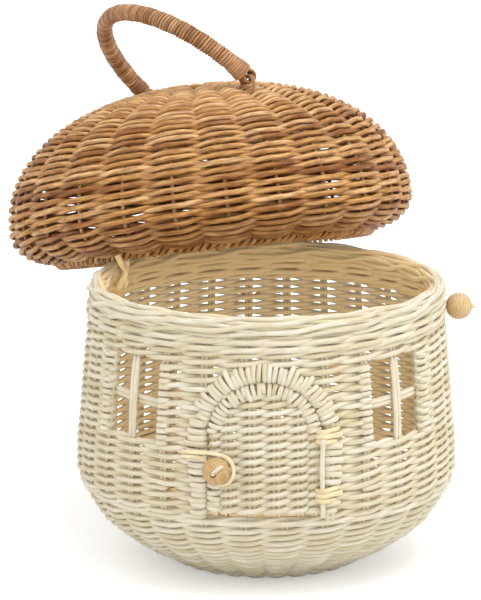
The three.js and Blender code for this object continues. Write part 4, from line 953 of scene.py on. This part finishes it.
# Stakes of the lid: every fourth reaches the top, the rest stop sooner, and every second one leans aside
ribs = {"cane": (1.55, 1.45), "start": 1.5, "top": 2, "stopRadii": (14, 40), "lean": -5.5,
        "leanRadii": (62, 40)}
for k in range(lid["stakes"]):
    stop = lidLength - ribs["top"]
    if k % 4:
        stop = float(np.interp(-ribs["stopRadii"][k % 2], -lidProfile.r, lidProfile.s))
    places = np.linspace(ribs["start"], stop, 60)
    r = lidProfile.at(places)[0]
    lean = ribs["lean"] * (k % 2) * smooth(-ribs["leanRadii"][0], -ribs["leanRadii"][1], -r)
    points, normals = onWall(lidProfile, 360 / lid["stakes"] * k + lean, places)
    # the stakes under the rows take some painted shade
    crownRows.add(points, normals, *ribs["cane"], taper=True, inner=0.2)
crownRows.build("lid_stakes", honeyCane, "lid", "lid_dome", (), lidPlace)

# The lip's border: three canes rolled side by side round a core
border = {"turns": 41, "steps": 18, "strands": 3, "radius": 3.6, "cane": 1.72, "core": 3.0}
lipBorder = CaneBundle()
around = onceRound(border["turns"] * border["steps"])
for strand in range(border["strands"]):
    theta = (border["turns"] * around + 2 * np.pi * strand / border["strands"]
             + 0.25 * np.sin(9 * around + strand))
    points = polar(lid["lip"] + border["radius"] * np.cos(theta), around,
                   border["radius"] * np.sin(theta) - lid["skirt"])
    lipBorder.add(points, polar(np.cos(theta), around, np.sin(theta)),
                  border["cane"] * (1 + luck.normal(0, 0.03)), sides=6, loop=True, tone=caneTone(around * 500))
# the core inside the roll takes painted shade
lipBorder.add(polar(lid["lip"], onceRound(96), -lid["skirt"]), (0, 0, 1), border["core"],
              sides=7, loop=True, inner=0.8)
lipBorder.build("lid_lip_border", honeyCane, "lid", "lid_border", place=lidPlace)
print("lid woven")

# Loop under the lip for the pot's bead: round the lip's border, over the rim and down round the bead
loop = {"cane": 1.4, "thick": 0.8, "border": 4.3, "seat": 0.6, "rimGap": 0.9, "rimTop": 0.6, "beadGap": 0.75,
        "beadShare": 0.35}
lidLoop = CaneBundle()
hang = (loop["border"] - loop["seat"] + loop["cane"]) * math.sqrt(0.5)
lipHeight = lid["middle"] - lid["skirt"] - hang
clear = potRadius(pot["height"]) + loop["cane"] + loop["rimGap"]
out = lidBeadRadius - bead["radius"] * loop["beadShare"]
hoop = bead["radius"] + loop["cane"] + loop["beadGap"]
above = max(lipHeight, pot["height"] + loop["cane"] + loop["rimTop"])
down = [(lid["lip"] + hang, -hoop * 0.3, lipHeight), ((lid["lip"] + hang + clear) / 2, -hoop * 0.34, above),
        (clear + 0.7, -hoop * 0.5, above), (out, -hoop * 0.85, pot["height"] - bead["radius"]),
        (out, -hoop * 1.04, bead["lidHeight"])]
under = [(out, -hoop * 0.72, bead["lidHeight"] - hoop * 0.8), (out, 0, bead["lidHeight"] - hoop * 1.12),
         (out, hoop * 0.72, bead["lidHeight"] - hoop * 0.8)]
reach, aside, height = np.array(down + under + [(r, -a, h) for r, a, h in down[::-1]]).T
a = math.radians(bead["lidAzimuth"])
route = np.stack([reach * math.cos(a) - aside * math.sin(a), reach * math.sin(a) + aside * math.cos(a),
                  height - lid["middle"]], 1)
lidLoop.add(curveThrough(route, 70), (math.cos(a), math.sin(a), 0.2), loop["cane"], loop["thick"],
            taper=True, tone=0.45)
lidLoop.build("lid_loop_cane", honeyCane, "lid", "lid_loop", place=lidPlace)

# The tie: the pot's loop through the wall and the lid's loop round the lip, linked where they cross
tie = {"drop": 20.0, "spacing": 13.0, "twist": 49.0, "waist": 6.0, "half": 3.04, "wide": 2.35, "thick": 0.4,
       "insideGap": 3.5, "outsideGap": 3.3, "roundLip": 6.0, "slimShare": 0.4, "slimReach": (1.5, 7.5)}
upward = np.array([0, 0, 1.0])
holeHeight = pot["height"] - tie["drop"]
inside = potRadius(holeHeight) - pot["wall"] - tie["insideGap"]
outside = potRadius(holeHeight) + tie["outsideGap"]


def onTieAxis(height):
    return np.array(tiePivot + tieAxis * ((height - lid["tieHeight"]) / tieAxis.z))


def outwardAt(azimuth):
    return polar(1.0, math.radians(azimuth), 0.0)


def tieHole(side, reach):
    azimuth = lid["tieAzimuth"] + math.degrees(side * tie["spacing"] / 2 / pot["radius"])
    return outwardAt(azimuth) * reach + upward * holeHeight


def tieEye(waist, sideways):  # half of the narrow eye in which the two loops link
    return [waist + sideways * tie["half"] * 0.75, waist + sideways * tie["half"]]


# One loop of the tie, slim at the waist where the two link and facing the front
def addTie(name, route, count, waist, body, slot, place=None):
    points = curveThrough(route, count, loop=True)
    away = np.linalg.norm(points - waist, axis=1)
    slim = tie["slimShare"] + (1 - tie["slimShare"]) * smooth(*tie["slimReach"], away)
    facing = Vector((0.25, -1, 0))
    if place:  # the lid's loop goes into the lid's own frame
        points = points - upward * lid["middle"]
        facing = place.to_3x3().inverted() @ facing
    bundle = CaneBundle()
    bundle.add(points, unit(points - points.mean(0)) * 0.4 + np.array(facing), tie["wide"] * slim,
               tie["thick"], loop=True, tone=0.5)
    bundle.build(name, paintedLightTieCane, body, slot, place=place)


waist = onTieAxis(pot["height"] - tie["waist"] + tie["half"] * 0.5)
twisted = outwardAt(lid["tieAzimuth"] - tie["twist"])


def potStrand(side):
    bend, start = tieEye(waist, -twisted * side)
    bend, start = bend - upward * tie["half"] * 0.35, start - upward * tie["half"] * 1.3
    low = tieHole(side, inside - 0.8) + upward * 2.4
    return [bend, start, start + (low - start) * 0.55, low, tieHole(side, inside + 0.8),
            tieHole(side, inside + 4.2)]


behind = outwardAt(lid["tieAzimuth"]) * (outside + 0.8) + upward * holeHeight
route = [waist + upward * tie["half"] * 0.2, *potStrand(1), tieHole(1, outside - 0.4), behind,
         tieHole(-1, outside - 0.4), *potStrand(-1)[::-1]]
addTie("pot_tie_cane", route, 110, waist, "pot", "pot_tie_loop")

waist = onTieAxis(pot["height"] - tie["waist"] - tie["half"] * 0.5)
outward = outwardAt(lid["tieAzimuth"])


def lidStrand(side):
    bend, start = tieEye(waist, outward * side)
    return [bend + upward * tie["half"] * 0.35, start + upward * tie["half"] * 1.3]


# Round the lip's border, from its outer side over the top to its inner side
lipShares = ((0.72, -0.74), (1.02, 0), (0.6, 0.86), (-0.6, 0.86), (-1.02, 0), (-0.8, -0.8))
lipMiddle = outward * lid["lip"] + upward * (lid["middle"] - lid["skirt"])
roundLip = [lipMiddle + outward * tie["roundLip"] * x + upward * tie["roundLip"] * z for x, z in lipShares]
route = [waist, *lidStrand(1), *roundLip, *lidStrand(-1)[::-1]]
addTie("lid_tie_cane", route, 90, waist, "lid", "lid_tie_loop", place=lidPlace)
print("ties done")


# The handle: a bent cane wound with fine cane, its lashed ends on two staples

handle = {"half": 76.7, "rise": 85.8, "azimuth": -140.0, "height": 97.4, "lean": 45.4, "core": 3.9,
          "coreEnd": 5, "fine": 1.16, "pitch": 2.4, "wide": 1.12, "flat": 0.94}
lash = {"length": 20.0, "start": 4.4, "turns": 8, "flare": {"front": 1.35, "back": 0.4}, "swell": 1.1,
        "cane": (1.3, 1.05), "eye": 4.7, "eyeTurns": (-1.5, -0.5, 0.5, 1.5), "eyePitch": 2.4,
        "eyeCane": (1.3, 1.1)}
staple = {"cane": 1.6, "span": 17.0, "depth": 4.0}
anchorPlace = (lidPlace @ Matrix.Translation((0, 0, handle["height"]))
               @ Matrix.Rotation(math.radians(handle["azimuth"]), 4, "Z"))
handlePlace = anchorPlace @ Matrix.Rotation(math.radians(handle["lean"]), 4, "X")


# Points round the handle's middle line, a little wider than tall, and the way they face
def handleRing(turn, angle, radius):
    turn, angle, radius = np.broadcast_arrays(np.asarray(turn, float), angle, radius)
    centre = np.stack([handle["half"] * np.cos(turn), 0 * turn, handle["rise"] * np.sin(turn)], -1)
    forward = unit(np.stack([-handle["half"] * np.sin(turn), 0 * turn, handle["rise"] * np.cos(turn)], -1))
    across = np.zeros_like(centre)
    across[..., 1] = 1
    off = (across * (handle["wide"] * radius * np.cos(angle))[..., None]
           + np.cross(across, forward) * (handle["flat"] * radius * np.sin(angle))[..., None])
    return centre + off, unit(off)


fineTurns = np.linspace(0, math.pi, 2000)
arc = lengthsAlong(handleRing(fineTurns, 0.0, 0.0)[0])
handleLength = float(arc[-1])


def turnAt(length):
    return np.interp(length, arc, fineTurns)


core = CaneBundle()
points, _ = handleRing(turnAt(np.linspace(handle["coreEnd"], handleLength - handle["coreEnd"], 60)), 0.0, 0.0)
# the core under the winding takes a little painted shade
core.add(points, (0, 1, 0), handle["core"] * 1.08, handle["core"] * 0.92, sides=10, taper=True, inner=0.2)
core.build("handle_core_cane", honeyCane, "handle", "handle_core", place=handlePlace)

winding = CaneBundle()
wound = handleLength - 2 * lash["length"]
rounds = wound / handle["pitch"]
t = np.linspace(0, 1, int(rounds * 11))
length = lash["length"] + wound * t + 0.12 * np.sin(t * 190) + 0.1 * np.sin(t * 71)
radius = (handle["core"] + 0.3 + handle["fine"] + 0.16 * np.sin(t * rounds * 0.9)
          + 0.1 * np.sin(t * rounds * 2.3))
points, normals = handleRing(turnAt(length), t * rounds * 2 * math.pi, radius)
tone = np.clip(0.5 + 0.28 * np.sin(t * rounds * 1.7) + 0.2 * np.sin(t * rounds * 0.37), 0, 1)
winding.add(points, normals, handle["fine"] * 1.06, handle["fine"] * 0.85, sides=6, taper=True, tone=tone)
winding.build("handle_winding", windingCane, "handle", "handle_wrap", place=handlePlace)


def domeDepth(reach):  # from the handle's pivots down into the dome
    height = lid["dome"] * (1 - (reach / lid["radius"]) ** lid["power"]) ** (1 / lid["power"])
    return handle["height"] - height + staple["depth"]


for side, word in ((1, "front"), (-1, "back")):
    # coarse turns of the lashing, wider towards the eye, most at the front end
    end = CaneBundle()
    t = np.linspace(0, 1, lash["turns"] * 14)
    length = lash["start"] + (lash["length"] - lash["start"]) * t
    flare = (1 - smooth(0.1, 1, t)) * lash["flare"][word]
    swell = handle["core"] + lash["swell"] + flare + 0.18 * np.sin(t * 37)
    points, normals = handleRing(turnAt(length if side > 0 else handleLength - length),
                                 t * lash["turns"] * 2 * math.pi, swell)
    end.add(points, normals, *lash["cane"], sides=7, taper=True)
    # the eye: the cane's end bent round the crossbar in four turns
    a = onceRound(26)
    for k in lash["eyeTurns"]:
        eye = lash["eye"] + 0.25 * math.sin(k * 4)
        stretch = 1.0 + 0.25 * (np.sin(a) > 0) * np.sin(a)
        points = np.stack([side * handle["half"] + k * lash["eyePitch"] + 0.4 * np.sin(a + k), eye * np.cos(a),
                           eye * np.sin(a) * stretch], 1)
        end.add(points, points - np.array([side * handle["half"], 0, 0]), *lash["eyeCane"], sides=7, loop=True)
    end.build("handle_lashing_" + word, windingCane, "handle", "handle_end_" + word, place=handlePlace)
    stapleCane = CaneBundle()
    bend = staple["cane"] * 2.2
    low, high = handle["half"] - staple["span"] / 2, handle["half"] + staple["span"] / 2
    route = [(low, -domeDepth(low)), (low, -bend * 1.5), (low + bend * 0.35, -bend * 0.4),
             (low + bend * 1.3, 0),
             (handle["half"], 0), (high - bend * 1.3, 0), (high - bend * 0.35, -bend * 0.4),
             (high, -bend * 1.5), (high, -domeDepth(high))]
    points = curveThrough([(side * x, 0, z) for x, z in route], 48)
    stapleCane.add(points, (0, 1, 0), staple["cane"], sides=9, taper=True)
    stapleCane.build("handle_staple_" + word, windingCane, "lid", "handle_anchor_" + word, place=anchorPlace)
print("handle done")


# Camera, floor and light

camera = {"place": (0, -3.2, 0.9409), "pitch": 13.19, "yaw": 0.337, "lens": 270.35, "sensor": 36, "far": 60}
cameraData = bpy.data.cameras.new("camera")
cameraData.lens = camera["lens"]
cameraData.sensor_width = camera["sensor"]
cameraData.sensor_height = camera["sensor"]
cameraData.clip_end = camera["far"]
cameraObject = bpy.data.objects.new("camera", cameraData)
cameraObject.location = camera["place"]
cameraObject.rotation_euler = (math.radians(90 - camera["pitch"]), 0, math.radians(camera["yaw"]))
bpy.context.collection.objects.link(cameraObject)
bpy.context.scene.camera = cameraObject
bpy.context.scene.view_settings.view_transform = "Standard"

# White paper, dull, made a little brighter only where the camera sees it
paper = {"size": 40, "colour": (0.85, 0.85, 0.85, 1), "roughness": 0.9, "seen": 0.31}
bpy.ops.object.select_all(action="DESELECT")
bpy.ops.mesh.primitive_plane_add(size=paper["size"], location=(0, 0, 0))
floor = bpy.context.object
floor.name = "floor"
floorMaterial = blankMaterial("white_paper_sweep")
sight = addNode(floorMaterial.node_tree, "ShaderNodeLightPath")
seen = addNode(floorMaterial.node_tree, "ShaderNodeMapRange", {"To Max": paper["seen"]},
               {"Value": sight.outputs["Is Camera Ray"]})
floorShader = addNode(floorMaterial.node_tree, "ShaderNodeBsdfPrincipled",
                      {"Base Color": paper["colour"], "Roughness": paper["roughness"],
                       "Emission Color": (1, 1, 1, 1)},
                      {"Emission Strength": seen.outputs["Result"]})
addNode(floorMaterial.node_tree, "ShaderNodeOutputMaterial", links={"Surface": floorShader.outputs["BSDF"]})
floor.data.materials.append(floorMaterial)

world = bpy.data.worlds.new("studio")
bpy.context.scene.world = world
world.use_nodes = True
world.node_tree.nodes["Background"].inputs["Color"].default_value = (1, 1, 1, 1)
world.node_tree.nodes["Background"].inputs["Strength"].default_value = 1.1

basketMiddle = (0, 0, 0.15)
softboxes = {  # place, target, size across and power
    "key_softbox": ((0.6, -0.5, 2.3), basketMiddle, 1.2, 21),
    "front_softbox": ((0.25, -3.0, 0.85), basketMiddle, 0.9, 7),
    "left_softbox": ((-2.2, -1.3, 0.8), basketMiddle, 1.3, 7),
    "right_softbox": ((2.4, -0.7, 1.2), basketMiddle, 1.0, 12),
    "fill_in_pot": ((0, -0.05, 0.03), (0, 0.12, 0.1), 0.12, 0.105)}
for name, (place, target, size, power) in softboxes.items():
    data = bpy.data.lights.new(name, "AREA")
    data.shape = "DISK"
    data.size = size
    data.energy = power
    lamp = bpy.data.objects.new(name, data)
    lamp.location = place
    lamp.rotation_euler = (Vector(target) - Vector(place)).to_track_quat("-Z", "Y").to_euler()
    lamp.visible_camera = False
    bpy.context.collection.objects.link(lamp)
print("studio lit")
